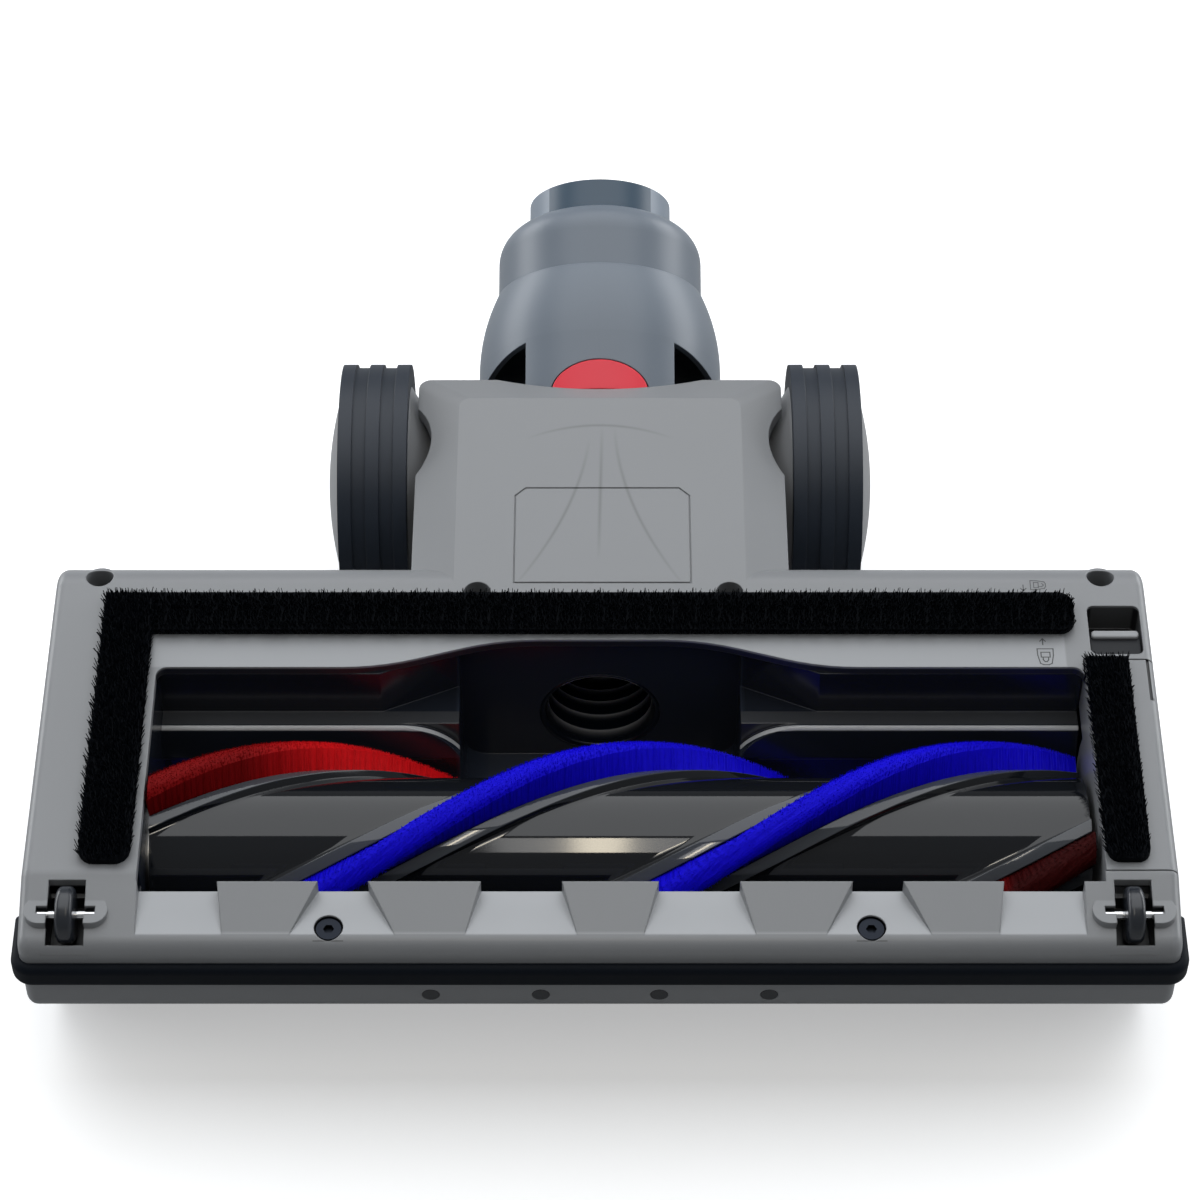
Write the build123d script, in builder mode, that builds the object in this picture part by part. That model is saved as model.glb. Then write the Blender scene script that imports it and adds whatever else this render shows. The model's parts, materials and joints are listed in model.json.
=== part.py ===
from build123d import *
import math
import os

# Vacuum floor brush head, lying on its top cover with the sole up. Millimetres.
# X runs across the head, Y from the bumper back to the neck, Z up out of the sole.
# The origin is on the flat of the top cover, under the axis of the brush bar.

# Wide body
sole_z = 60.0            # flat sole above the flat of the top cover
half_width = 124.5       # middle to each end wall
front_y = -38.5          # front wall
rear_y = 68.0            # rear wall
wall = 2.4
parting_z = 46.0         # joint between lower housing and top cover
end_r = 2.5              # rounding of the two ends
sole_roll_r = 9.0        # sole rolling into the rear wall
cover_roll_r = 20.0      # rear wall rolling into the flat of the cover
cover_nose_z = 34.0      # where the cover starts to slope under
cover_nose_r = 5.0
cover_foot_y = -14.0     # front end of the cover's flat
cover_foot_r = 20.0
lip_front_z = 54.6       # front lip where it meets the front wall
lip_front_r = 4.0
lip_fold_y = -22.0       # fold between lip and flat sole
lip_fold_r = 4.0
slide_gap = 0.3          # between pieces that move past each other
run_gap = 0.06           # radial clearance of a shaft in its bearing
seat_gap = 0.05          # radial clearance of a piece pushed into its seat

# Brush opening in the sole
open_left_inset = 25.0   # from the left end wall
open_right_inset = 16.0  # from the right end wall
open_left_x = open_left_inset - half_width
open_right_x = half_width - open_right_inset
open_front_y = -24.0
open_rear_y = 34.5
duct_rear_y = 42.5       # opening stepped back over the duct
duct_step_half = 22.6
duct_slope_half = 49.5
duct_bend_r = 60.0       # bends between the opening's edge and the step

# Pads and channels of the front lip
lip_floor_z = 51.5       # underside of the solid lip
channel_z = 55.6
pad_mid_x = 2.25
pad_pitch = 38.2
pad_front = 12.4         # width at the front fold
pad_flares = ((8.0, 13.6), (13.8, 10.4), (10.4, 10.4), (10.4, 13.8), (13.6, 8.0))
corner_block_left_inset = 25.2
corner_block_right_inset = 20.6
corner_block_left_x = corner_block_left_inset - half_width
corner_block_right_x = half_width - corner_block_right_inset

# Rear tray, axles and trunnions
tray_half = 43.5
panel_half = 33.5
tray_rear_y = 126.7
panel_rear_y = 117.0
tray_edge_z = 56.0
tray_skirt = 3.0
tray_corner_r = 3.0
scoop_r = 18.0           # waist beside each wheel
scoop_y = 106.5
waist_half = 40.0
tray_dip_half = 24.6     # hollow in the rear edge for the neck
tray_dip = 4.9
cover_tail_y = 90.0      # rear end of the top cover's tail
tail_r = 8.0
cheek_in = 34.5          # inner face of each cheek
cheek_t = 4.0
wheel_y = 113.5
wheel_z = 32.6
wheel_axle_r = 4.0
tilt_y = 124.5
tilt_z = 26.0
trunnion_r = 3.0
cheek_boss_r = 9.0
field_left_x = -19.9     # plain field on the tray, bounded by a fine line
field_right_x = 21.0
field_front_y = 59.2
field_rear_y = 88.5
field_corner = 2.5
field_line = 0.35

# Brush bar
brush_z = 36.0
brush_tip_r = 25.5
brush_left_gap = 0.8
brush_right_gap = 1.0
brush_left_x = open_left_x + brush_left_gap
brush_right_x = open_right_x - brush_right_gap
core_r = 17.2
core_bore_r = 13.5
rail_r = 19.0
rail_width = 14.0
strip_width = 7.6
strip_root_r = 16.2
helix_lead = 228.0       # length along X of one left-hand turn
twist_rate = -360.0 / helix_lead
strip_angle = 52.0       # first strip at X = 0, from +Y towards +Z
strip_count = 3

# Motor inside the brush bar and the bearings
motor_r = 12.3
motor_overhang = 5.5     # beyond the chamber's left end
motor_left_x = open_left_x - motor_overhang
motor_length = 73.0
motor_right_x = motor_left_x + motor_length
shaft_r = 2.5
shaft_depth = 28.0       # of the shaft inside the motor
shaft_left_x = motor_right_x - shaft_depth
shaft_end_gap = 1.0      # behind the shaft in the motor
coupling_gap = 4.0
coupling_left_x = motor_right_x + coupling_gap
coupling_length = 8.0
mount_r = 17.0
mount_overhang = 9.5
mount_left_x = open_left_x - mount_overhang
core_bearing_length = 8.0
plug_length = 7.0
pin_r = 4.0
pin_reach = 5.0          # of the plug's pin into the end cap
pin_end_x = open_right_x + pin_reach
pin_gap = 1.0            # round the pin in the end cap
end_bearing_r = 9.0
end_bearing_length = 4.0

# Chamber liner and hose
liner_r = 27.3
liner_wall = 1.8
ledge_z = 44.0
ledge_y = 29.5
duct_half = 32.0
duct_back_y = 46.0
duct_floor_z = 13.5
port_r = 14.0
port_z = 29.0
duct_r = 6.0
ledge_round = 1.2
flare_half = 45.0        # where the ledge starts to round down into the duct
flare_end_half = 30.0
flare_drop = 14.0
flare_y = 31.0
hose_r = 14.2
hose_bore_r = 12.2
hose_straight = 14.0
hose_start_bend_r = 60.0
hose_bend_r = 45.0
hose_bend_l = 14.0       # bend's corner in front of the tilt axis
hose_end_l = 12.0
cradle_xs = (-70.0, 70.0)
cradle_half = 18.0
cradle_z = 13.0
cuff_r = 18.0
cuff_length = 6.0

# End cap and latch
cap_front_y = -21.7
cap_rear_y = 36.9
cap_gap = 0.3
cap_plate = 3.0
cap_disc = 2.2
cap_hub_r = 12.0
cap_line_inset = 1.9     # line on the cap beside the end wall
cap_line_front_y = 25.2
cap_line = 0.6
latch_left_inset = 14.0  # latch recess from the end wall
latch_right_inset = 2.1
latch_left_x = half_width - latch_left_inset
latch_right_x = half_width - latch_right_inset
latch_front_y = 38.3
latch_rear_y = 52.4
latch_length = 7.0
latch_depth = 8.0
latch_floor = 1.6
latch_top_z = 58.6
latch_lip = 1.0
latch_lip_round = 0.45
tongue_width = 5.0
tongue_t = 2.0
tongue_z = 54.5
tongue_reach = 4.4

# Felt strips
felt_height = 2.4
felt_width = 11.0
rear_felt_y = 44.1
rear_felt_inset = 17.2
left_felt_inset = 12.2
rear_felt_right_x = half_width - rear_felt_inset
left_felt_x = left_felt_inset - half_width
left_felt_front_y = -20.0
right_felt_inset = 15.2
right_felt_x = half_width - right_felt_inset
right_felt_width = 9.2
right_felt_front_y = -19.5
right_felt_rear_y = 36.4

# Bumper
bumper_low_z = 43.0
bumper_high_z = 49.5
bumper_proud = 2.0
bumper_end_y = -26.0
bumper_round = 1.8

# Light windows
lens_r = 1.9
lens_z = 37.6
lens_length = 4.5
lens_xs = (-36.6, -12.8, 12.8, 36.6)
board_length = 92.0
board_height = 6.0
board_t = 1.6

# Casing screws
screw_shank_r = 1.5
screw_head_r = 2.7
screw_head = 2.0
screw_length = 11.0
well_r = 3.15
well_floor = 1.5
boss_r = 2.6
front_screw_x = 58.0
front_screw_y = -33.4
rear_screw_xs = (-28.0, 29.6)
rear_screw_inset = 11.6
corner_screw_inset = 10.0
corner_screw_rear_inset = 6.6
rear_screw_y = rear_y - rear_screw_inset
corner_screw_x = half_width - corner_screw_inset
corner_screw_y = rear_y - corner_screw_rear_inset
rear_post_low_z = 50.0
socket_r = 1.2           # drive recess in the head
socket_depth = 1.2

# Front rollers
roller_inset = 10.3
roller_x = half_width - roller_inset
roller_y = -30.5
roller_z = 56.0
roller_r = 6.2
roller_width = 3.8
roller_axle_r = 1.0
roller_axle_length = 12.6
pocket_width = 8.0
pocket_length = 13.6
pocket_floor_z = 48.8
oval_length = 18.0
oval_width = 7.0
oval_z = 58.0

# Rear wheels
wheel_r = 29.4
tyre_in = 45.7
tyre_width = 16.3
tyre_bore_r = 24.0
groove_depth = 0.8
tread_bands = 5
hub_in = 39.2            # inner end of the hub's cone
hub_core_r = 13.0
hub_web = 3.0
axle_end = 61.5
axle_head = 3.0
cap_rise = 3.6           # dome of the hub cap outside the tyre

# Neck
neck_tilt = 21.0         # neck axis above the horizontal
rim_l = 9.5              # distances along the neck axis from the tilt axis
dome_l = 25.0
seam_l = 44.4
tip_l = 62.9
end_l = 70.6
rim_r = 29.6
dome_r = 29.9
seam_r = 25.8
collar_r = 25.3
tip_r = 17.6
neck_wall = 2.2
tube_r = 17.0
tube_bore_r = 14.6
tube_start_l = -4.0
tube_end_l = 47.5
bearing_l = 37.2
retain_r = 18.6
bearing_length = 7.0
yoke_ear_out = 30.8
yoke_ear_r = 8.0
tongue_half = 18.0
window_l = 23.9
window_side_l = 18.5
window_half = 28.2
window_r = 22.0
window_low = 6.0
connector_bore_r = 13.0
connector_in_l = 50.0
connector_flange_r = 21.5
shoulder_l = 54.5
shoulder_step = 1.0
collar_end = 3.0
flat_half = 12.6         # slanted flats on the sides of the connector
flat_low = 4.0
contact_r = 1.2
contact_length = 9.0
contact_spread = 5.0
button_half = 11.6
button_top_l = 17.0
button_depth = 4.6
button_gap = 0.35
button_proud = 0.3
button_stem_r = 2.0
shelf_l = 13.5
shelf_length = 7.0
shelf_t = 1.6
shelf_low = 20.8
shelf_rib = 4.4

cut_far = 200.0          # reach of cuts that pass right through

neck_dir = (0, math.cos(math.radians(neck_tilt)), math.sin(math.radians(neck_tilt)))
neck_up = (0, -neck_dir[2], neck_dir[1])
neck_axis = Axis((0, tilt_y, tilt_z), neck_dir)
neck_side = Plane(origin=(0, tilt_y, tilt_z), x_dir=neck_dir, z_dir=(1, 0, 0))
neck_top = Plane(origin=(0, tilt_y, tilt_z), x_dir=(1, 0, 0), z_dir=neck_up)

os.makedirs("parts", exist_ok=True)


def neck_plane(l):
    """Plane square to the neck axis at distance l from the tilt axis, its Y pointing to the sole side."""
    origin = (0, tilt_y + l * neck_dir[1], tilt_z + l * neck_dir[2])
    return Plane(origin=origin, x_dir=(-1, 0, 0), z_dir=neck_dir)


def cross_plane(x):
    """Plane square to X through the brush axis, its X along +Y and its Y along +Z."""
    return Plane(origin=(x, 0, brush_z), x_dir=(0, 1, 0), z_dir=(1, 0, 0))


def turned(plane, axis, points):
    """Solid turned about axis from a closed outline drawn on plane."""
    with BuildPart() as piece:
        with BuildSketch(plane):
            with BuildLine():
                Polyline(*points, close=True)
            make_face()
        revolve(axis=axis)
    return piece.part


def body_block(inset):
    """Closed outline of the wide body, drawn in by inset on every side."""
    corners = (
        (front_y, lip_front_z),
        (lip_fold_y, sole_z),
        (rear_y, sole_z),
        (rear_y, 0),
        (cover_foot_y, 0),
        (front_y, cover_nose_z),
    )
    radii = (lip_front_r, lip_fold_r, sole_roll_r, cover_roll_r, cover_foot_r, cover_nose_r)
    with BuildPart() as block:
        with BuildSketch(Plane.YZ):
            with BuildLine():
                FilletPolyline(*corners, radius=radii, close=True)
            make_face()
            if inset:
                offset(amount=-inset)
        extrude(amount=half_width - inset, both=True)
        if not inset:
            fillet(block.faces().filter_by(Axis.X).edges(), end_r)
    return block.part


outer_block = body_block(0)
inner_block = body_block(wall)

# Plan of the brush opening
opening_plan = (
    (open_left_x, open_front_y),
    (open_right_x, open_front_y),
    (open_right_x, open_rear_y),
    (duct_slope_half, open_rear_y),
    (duct_step_half, duct_rear_y),
    (-duct_step_half, duct_rear_y),
    (-duct_slope_half, open_rear_y),
    (open_left_x, open_rear_y),
)
opening_radii = (0, 0, end_r, duct_bend_r, duct_bend_r, duct_bend_r, duct_bend_r, end_r)
screw_spots = {
    "front": [(-front_screw_x, front_screw_y), (front_screw_x, front_screw_y)],
    "rear": [(x, rear_screw_y) for x in rear_screw_xs]
    + [(-corner_screw_x, corner_screw_y), (corner_screw_x, corner_screw_y)],
}


def lip_channels():
    """Cutters for the hollows between the pads of the front lip."""
    mids = [pad_mid_x + pad_pitch * (i - (len(pad_flares) - 1) / 2) for i in range(len(pad_flares))]
    lefts = [corner_block_left_x] + [mid + flare[1] for mid, flare in zip(mids, pad_flares)]
    rights = [mid - flare[0] for mid, flare in zip(mids, pad_flares)] + [corner_block_right_x]
    front_lefts = [corner_block_left_x] + [mid + pad_front / 2 for mid in mids]
    front_rights = [mid - pad_front / 2 for mid in mids] + [corner_block_right_x]
    with BuildPart() as cutters:
        with BuildSketch(Plane.XY.offset(channel_z)):
            for left, right, low_left, low_right in zip(lefts, rights, front_lefts, front_rights):
                with BuildLine():
                    Polyline(
                        (left, open_front_y),
                        (right, open_front_y),
                        (low_right, front_y),
                        (low_left, front_y),
                        close=True,
                    )
                make_face()
        extrude(amount=sole_z)
    return cutters.part


def front_lip():
    """Solid lip in front of the opening, shaped by the body's outline."""
    with BuildPart() as lip:
        with Locations((0, (front_y + open_front_y) / 2, (lip_floor_z + sole_z) / 2)):
            Box(2 * half_width - wall, open_front_y - front_y, sole_z - lip_floor_z)
        add(outer_block, mode=Mode.INTERSECT)
        add(lip_channels(), mode=Mode.SUBTRACT)
    return lip.part


def tray():
    """Rear tray with its bevelled panel, waist scoops and the two cheeks."""
    dip_r = (tray_dip_half**2 + tray_dip**2) / (2 * tray_dip)
    front = rear_y - sole_roll_r - tray_corner_r - wall
    with BuildPart() as shell:
        with BuildSketch(Plane.XY.offset(tray_edge_z)) as foot:
            with Locations((0, (front + tray_rear_y) / 2)):
                RectangleRounded(2 * tray_half, tray_rear_y - front, tray_corner_r)
        with BuildSketch(Plane.XY.offset(sole_z)):
            with Locations((0, (front + panel_rear_y) / 2)):
                RectangleRounded(2 * panel_half, panel_rear_y - front, tray_corner_r)
        loft()
        add(extrude(foot.sketch, amount=-tray_skirt, mode=Mode.PRIVATE))
        with BuildSketch(Plane.XY.offset(tray_edge_z - tray_skirt)):
            with Locations((0, front)):
                Rectangle(2 * cheek_in, cut_far, align=(Align.CENTER, Align.MIN))
        extrude(amount=tray_skirt - wall / 2, mode=Mode.SUBTRACT)
        with BuildSketch(Plane.XY.offset(tray_edge_z - tray_skirt)):
            with Locations((0, front)):
                Rectangle(2 * cheek_in, panel_rear_y - wall - front, align=(Align.CENTER, Align.MIN))
        extrude(amount=sole_z - wall - tray_edge_z + tray_skirt, mode=Mode.SUBTRACT)
        with BuildSketch(Plane.XY.offset(tray_edge_z - tray_skirt)):
            with Locations((waist_half + scoop_r, scoop_y), (-waist_half - scoop_r, scoop_y)):
                Circle(scoop_r)
            with Locations((0, tray_rear_y - tray_dip + dip_r)):
                Circle(dip_r)
        extrude(amount=sole_z, mode=Mode.SUBTRACT)
        for x in (cheek_in, -cheek_in - cheek_t):
            with BuildSketch(Plane.YZ.offset(x)):
                with BuildLine():
                    FilletPolyline(
                        (rear_y - wall, parting_z),
                        (rear_y - wall, tray_edge_z),
                        (panel_rear_y, tray_edge_z),
                        (tilt_y + cheek_boss_r, tilt_z + cheek_boss_r),
                        (tilt_y + cheek_boss_r, tilt_z - cheek_boss_r),
                        (wheel_y - cheek_boss_r, tilt_z - cheek_boss_r),
                        (cover_tail_y + slide_gap, parting_z),
                        radius=(0, 0, 0, cheek_boss_r, cheek_boss_r, cheek_boss_r, 0),
                        close=True,
                    )
                make_face()
            extrude(amount=cheek_t)
        for y, z, r in ((wheel_y, wheel_z, wheel_axle_r), (tilt_y, tilt_z, trunnion_r)):
            with BuildSketch(Plane.YZ):
                with Locations((y, z)):
                    Circle(r + seat_gap)
            extrude(amount=cut_far, both=True, mode=Mode.SUBTRACT)
    return shell.part


# Lower housing: sole, front lip, roller corners and tray in one moulding
with BuildPart() as lower_housing:
    add(outer_block)
    add(inner_block, mode=Mode.SUBTRACT)
    split(bisect_by=Plane.XY.offset(parting_z), keep=Keep.TOP)
    with BuildSketch(Plane.XY.offset(channel_z)):
        with Locations(((corner_block_left_x + corner_block_right_x) / 2, (front_y + open_front_y) / 2)):
            Rectangle(corner_block_right_x - corner_block_left_x, open_front_y - front_y)
    extrude(amount=sole_z - channel_z, mode=Mode.SUBTRACT)
    add(front_lip())
    add(tray())
    with BuildSketch(Plane.XY.offset(rear_post_low_z)):
        with Locations(*screw_spots["rear"]):
            Circle(well_r + wall / 2)
    extrude(amount=sole_z - wall - rear_post_low_z)
    with BuildSketch(Plane.XY.offset(lip_floor_z)):
        with BuildLine():
            FilletPolyline(*opening_plan, radius=opening_radii, close=True)
        make_face()
    extrude(amount=sole_z, mode=Mode.SUBTRACT)
    with BuildSketch(Plane.XY.offset(sole_z)):
        with BuildLine():
            Polyline(
                (field_left_x, field_front_y),
                (field_right_x, field_front_y),
                (field_right_x, field_rear_y - field_corner),
                (field_right_x - field_corner, field_rear_y),
                (field_left_x + field_corner, field_rear_y),
                (field_left_x, field_rear_y - field_corner),
                close=True,
            )
        field = make_face()
        offset(field, amount=-field_line, mode=Mode.SUBTRACT)
    extrude(amount=-field_line, mode=Mode.SUBTRACT)
    for x in (-roller_x, roller_x):
        with BuildSketch(Plane.XY.offset(pocket_floor_z - wall / 2)):
            with Locations((x, roller_y)):
                Rectangle(pocket_width + wall, pocket_length + wall)
        extrude(amount=lip_floor_z - pocket_floor_z + wall)
        with BuildSketch(Plane.XY.offset(lip_floor_z)):
            with Locations((x, roller_y)):
                SlotOverall(oval_length, oval_width)
        extrude(amount=oval_z - lip_floor_z)
        with BuildSketch(Plane.XY.offset(pocket_floor_z)):
            with Locations((x, roller_y)):
                Rectangle(pocket_width, pocket_length)
        extrude(amount=sole_z, mode=Mode.SUBTRACT)
        with BuildSketch(Plane.XY.offset(roller_z - roller_axle_r)):
            with Locations((x, roller_y)):
                Rectangle(roller_axle_length, 2 * roller_axle_r)
        extrude(amount=sole_z, mode=Mode.SUBTRACT)
    for spots, floor_z in ((screw_spots["front"], lip_floor_z), (screw_spots["rear"], rear_post_low_z)):
        with BuildSketch(Plane.XY.offset(floor_z + well_floor)):
            with Locations(*spots):
                Circle(well_r)
        extrude(amount=sole_z, mode=Mode.SUBTRACT)
        with BuildSketch(Plane.XY.offset(floor_z)):
            with Locations(*spots):
                Circle(screw_shank_r + seat_gap)
        extrude(amount=sole_z, mode=Mode.SUBTRACT)
    with BuildSketch(Plane.XY.offset(parting_z)):
        with Locations((open_right_x, cap_front_y)):
            Rectangle(cut_far, cap_rear_y - cap_front_y, align=Align.MIN)
    extrude(amount=sole_z, mode=Mode.SUBTRACT)
    latch_mid = ((latch_left_x + latch_right_x) / 2, (latch_front_y + latch_rear_y) / 2)
    latch_size = (latch_right_x - latch_left_x, latch_rear_y - latch_front_y)
    with BuildSketch(Plane.XY.offset(sole_z - latch_depth - latch_floor)):
        with Locations((latch_mid[0], cap_rear_y)):
            Rectangle(
                latch_size[0] + 2 * latch_floor,
                latch_rear_y + latch_floor - cap_rear_y,
                align=(Align.CENTER, Align.MIN),
            )
    extrude(amount=latch_depth - wall + latch_floor)
    with BuildSketch(Plane.XY.offset(sole_z - latch_depth)):
        with Locations(latch_mid):
            RectangleRounded(*latch_size, latch_floor)
    extrude(amount=latch_depth, mode=Mode.SUBTRACT)
    with Locations((latch_mid[0], cap_rear_y, tongue_z)):
        Box(
            tongue_width + 2 * slide_gap,
            2 * tongue_reach,
            tongue_t + 2 * slide_gap,
            mode=Mode.SUBTRACT,
        )
    lower_housing.part.label = "lower_housing"
export_step(lower_housing.part, "parts/lower_housing.step")


def cover_tail(inset):
    """Section of the cover's tail, drawn in by inset, run forward from its rear end."""
    half = cheek_in + cheek_t - inset
    with BuildPart() as tail:
        with BuildSketch(Plane.XZ.offset(-cover_tail_y)):
            with BuildLine():
                FilletPolyline(
                    (-half, parting_z),
                    (half, parting_z),
                    (half, inset),
                    (-half, inset),
                    radius=(0, 0, tail_r - inset, tail_r - inset),
                    close=True,
                )
            make_face()
        extrude(amount=cover_tail_y - rear_y + cover_roll_r + inset)
    return tail.part


def cover_supports():
    """Cradle ribs under the liner and screw bosses, trimmed to the cover's outline."""
    with BuildPart() as supports:
        with Locations(*[(x, 0, cradle_z / 2) for x in cradle_xs]):
            Box(wall, 2 * cradle_half, cradle_z)
        with BuildSketch(Plane.YZ):
            with Locations((0, brush_z)):
                Circle(liner_r + liner_wall + seat_gap)
        extrude(amount=half_width, both=True, mode=Mode.SUBTRACT)
        for spots, top_z in ((screw_spots["front"], lip_floor_z), (screw_spots["rear"], rear_post_low_z)):
            with BuildSketch():
                with Locations(*spots):
                    Circle(boss_r)
            extrude(amount=top_z)
        add(outer_block, mode=Mode.INTERSECT)
    return supports.part


# Top cover: upper shell with the tail round the hose
with BuildPart() as top_cover:
    add(outer_block)
    add(inner_block, mode=Mode.SUBTRACT)
    split(bisect_by=Plane.XY.offset(parting_z), keep=Keep.BOTTOM)
    add(cover_tail(0))
    add(cover_tail(wall), mode=Mode.SUBTRACT)
    add(cover_supports())
    for spots, top_z in ((screw_spots["front"], lip_floor_z), (screw_spots["rear"], rear_post_low_z)):
        with BuildSketch(Plane.XY.offset(top_z)):
            with Locations(*spots):
                Circle(screw_shank_r + seat_gap)
        extrude(amount=-screw_length, mode=Mode.SUBTRACT)
    with BuildSketch(Plane.XZ.offset(-front_y - wall)):
        with Locations(*[(x, lens_z) for x in lens_xs]):
            Circle(lens_r + seat_gap)
    extrude(amount=2 * wall, mode=Mode.SUBTRACT)
    with BuildSketch(Plane.YZ.offset(half_width - 2 * wall)):
        with Locations((0, brush_z)):
            Circle(liner_r)
    extrude(amount=cut_far, mode=Mode.SUBTRACT)
    top_cover.part.label = "top_cover"
export_step(top_cover.part, "parts/top_cover.step")

# Front bumper: strip round the front of the joint between the two shells
with BuildPart() as front_bumper:
    with BuildSketch(Plane.XY.offset(bumper_low_z)):
        with Locations((0, (front_y + rear_y) / 2)):
            RectangleRounded(
                2 * (half_width + bumper_proud), rear_y - front_y + 2 * bumper_proud, end_r + bumper_proud
            )
    extrude(amount=bumper_high_z - bumper_low_z)
    flats = front_bumper.faces().sort_by(Axis.Z)
    fillet(flats[0].edges() + flats[-1].edges(), bumper_round)
    with BuildSketch(Plane.XY.offset(bumper_low_z)):
        with Locations((0, (front_y + rear_y) / 2)):
            RectangleRounded(2 * half_width, rear_y - front_y, end_r)
    extrude(amount=bumper_high_z - bumper_low_z, mode=Mode.SUBTRACT)
    split(bisect_by=Plane.XZ.offset(-bumper_end_y), keep=Keep.TOP)
    front_bumper.part.label = "front_bumper"
export_step(front_bumper.part, "parts/front_bumper.step")


def chamber_void(grow):
    """Space inside the brush chamber and its duct, grown outwards by grow."""
    with BuildPart() as void:
        with BuildSketch(Plane.YZ.offset(open_left_x - grow)):
            with Locations((0, brush_z)):
                Circle(liner_r)
            with BuildLine():
                FilletPolyline(
                    (-liner_r, brush_z),
                    (liner_r, brush_z),
                    (ledge_y, ledge_z),
                    (open_rear_y, ledge_z),
                    (open_rear_y, sole_z),
                    (-liner_r, sole_z),
                    radius=(0, 0, ledge_round, 0, 0, 0),
                    close=True,
                )
            make_face()
            if grow:
                offset(amount=grow)
        extrude(amount=open_right_x - open_left_x + grow)
        with BuildSketch(Plane.XY.offset(ledge_z - grow)):
            with BuildLine():
                Polyline(
                    (-duct_slope_half, open_front_y),
                    (-duct_slope_half, open_rear_y),
                    (-duct_step_half, duct_back_y),
                    (duct_step_half, duct_back_y),
                    (duct_slope_half, open_rear_y),
                    (duct_slope_half, open_front_y),
                    close=True,
                )
            make_face()
            if grow:
                offset(amount=grow)
        extrude(amount=sole_z - ledge_z + grow)
        with BuildSketch(Plane.XZ.offset(-duct_back_y - grow)):
            with Locations((0, (duct_floor_z + sole_z) / 2)):
                RectangleRounded(2 * (duct_half + grow), sole_z - duct_floor_z + 2 * grow, duct_r + grow)
        extrude(amount=duct_back_y + grow)
        with BuildSketch(Plane.XZ.offset(-flare_y - grow)):
            with BuildLine():
                left = TangentArc(
                    (-flare_half, ledge_z), (-flare_end_half, ledge_z - flare_drop), tangent=(1, 0)
                )
                Line(left @ 1, (flare_end_half, ledge_z - flare_drop))
                TangentArc((flare_half, ledge_z), (flare_end_half, ledge_z - flare_drop), tangent=(-1, 0))
                Line((flare_half, ledge_z), (-flare_half, ledge_z))
            make_face()
            if grow:
                offset(amount=grow)
        extrude(amount=flare_y + grow)
    return void.part


# Chamber liner: thin black moulding round the brush with the duct at its back
with BuildPart() as chamber_liner:
    add(chamber_void(liner_wall))
    add(chamber_void(0), mode=Mode.SUBTRACT)
    split(bisect_by=Plane.XY.offset(sole_z - wall), keep=Keep.BOTTOM)
    with BuildSketch(Plane.XY.offset(lip_floor_z)):
        with Locations((0, lip_fold_y + wall)):
            Rectangle(cut_far * 2, cut_far, align=(Align.CENTER, Align.MAX))
    extrude(amount=sole_z, mode=Mode.SUBTRACT)
    with BuildSketch(cross_plane(open_left_x)):
        Circle(motor_r + seat_gap)
    extrude(amount=-2 * liner_wall, mode=Mode.SUBTRACT)
    with BuildSketch(Plane.XZ.offset(-duct_back_y - 2 * liner_wall)):
        with Locations((0, port_z)):
            Circle(port_r)
    extrude(amount=3 * liner_wall, mode=Mode.SUBTRACT)
    chamber_liner.part.label = "chamber_liner"
export_step(chamber_liner.part, "parts/chamber_liner.step")

# Suction hose from the duct port into the tilt yoke, bent where the neck tilts
port_back_y = duct_back_y + liner_wall
hose_bend_point = (0, tilt_y - hose_bend_l * neck_dir[1], tilt_z - hose_bend_l * neck_dir[2])
hose_tip_point = (0, tilt_y + hose_end_l * neck_dir[1], tilt_z + hose_end_l * neck_dir[2])
with BuildPart() as suction_hose:
    with BuildLine():
        FilletPolyline(
            (0, port_back_y, port_z),
            (0, port_back_y + hose_straight, port_z),
            hose_bend_point,
            hose_tip_point,
            radius=(hose_start_bend_r, hose_bend_r),
        )
    with BuildSketch(Plane.XZ.offset(-port_back_y)):
        with Locations((0, port_z)):
            Circle(hose_r)
            Circle(hose_bore_r, mode=Mode.SUBTRACT)
    sweep()
    suction_hose.part.label = "suction_hose"
export_step(suction_hose.part, "parts/suction_hose.step")

with BuildPart() as hose_cuff:
    with BuildSketch(Plane.XZ.offset(-port_back_y)):
        with Locations((0, port_z)):
            Circle(cuff_r)
            Circle(hose_r + seat_gap, mode=Mode.SUBTRACT)
    extrude(amount=-cuff_length)
    hose_cuff.part.label = "hose_cuff"
export_step(hose_cuff.part, "parts/hose_cuff.step")


def felt(left_x, front_y_edge, width, length):
    """Flat pile strip standing on the sole."""
    with BuildPart() as strip:
        with BuildSketch(Plane.XY.offset(sole_z)):
            with Locations((left_x, front_y_edge)):
                Rectangle(width, length, align=Align.MIN)
        extrude(amount=felt_height)
    return strip


rear_felt = felt(
    left_felt_x + felt_width, rear_felt_y, rear_felt_right_x - left_felt_x - felt_width, felt_width
)
rear_felt.part.label = "rear_felt"
export_step(rear_felt.part, "parts/rear_felt.step")

left_felt = felt(left_felt_x, left_felt_front_y, felt_width, rear_felt_y + felt_width - left_felt_front_y)
left_felt.part.label = "left_felt"
export_step(left_felt.part, "parts/left_felt.step")

right_felt = felt(right_felt_x, right_felt_front_y, right_felt_width, right_felt_rear_y - right_felt_front_y)
right_felt.part.label = "right_felt"
export_step(right_felt.part, "parts/right_felt.step")

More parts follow.
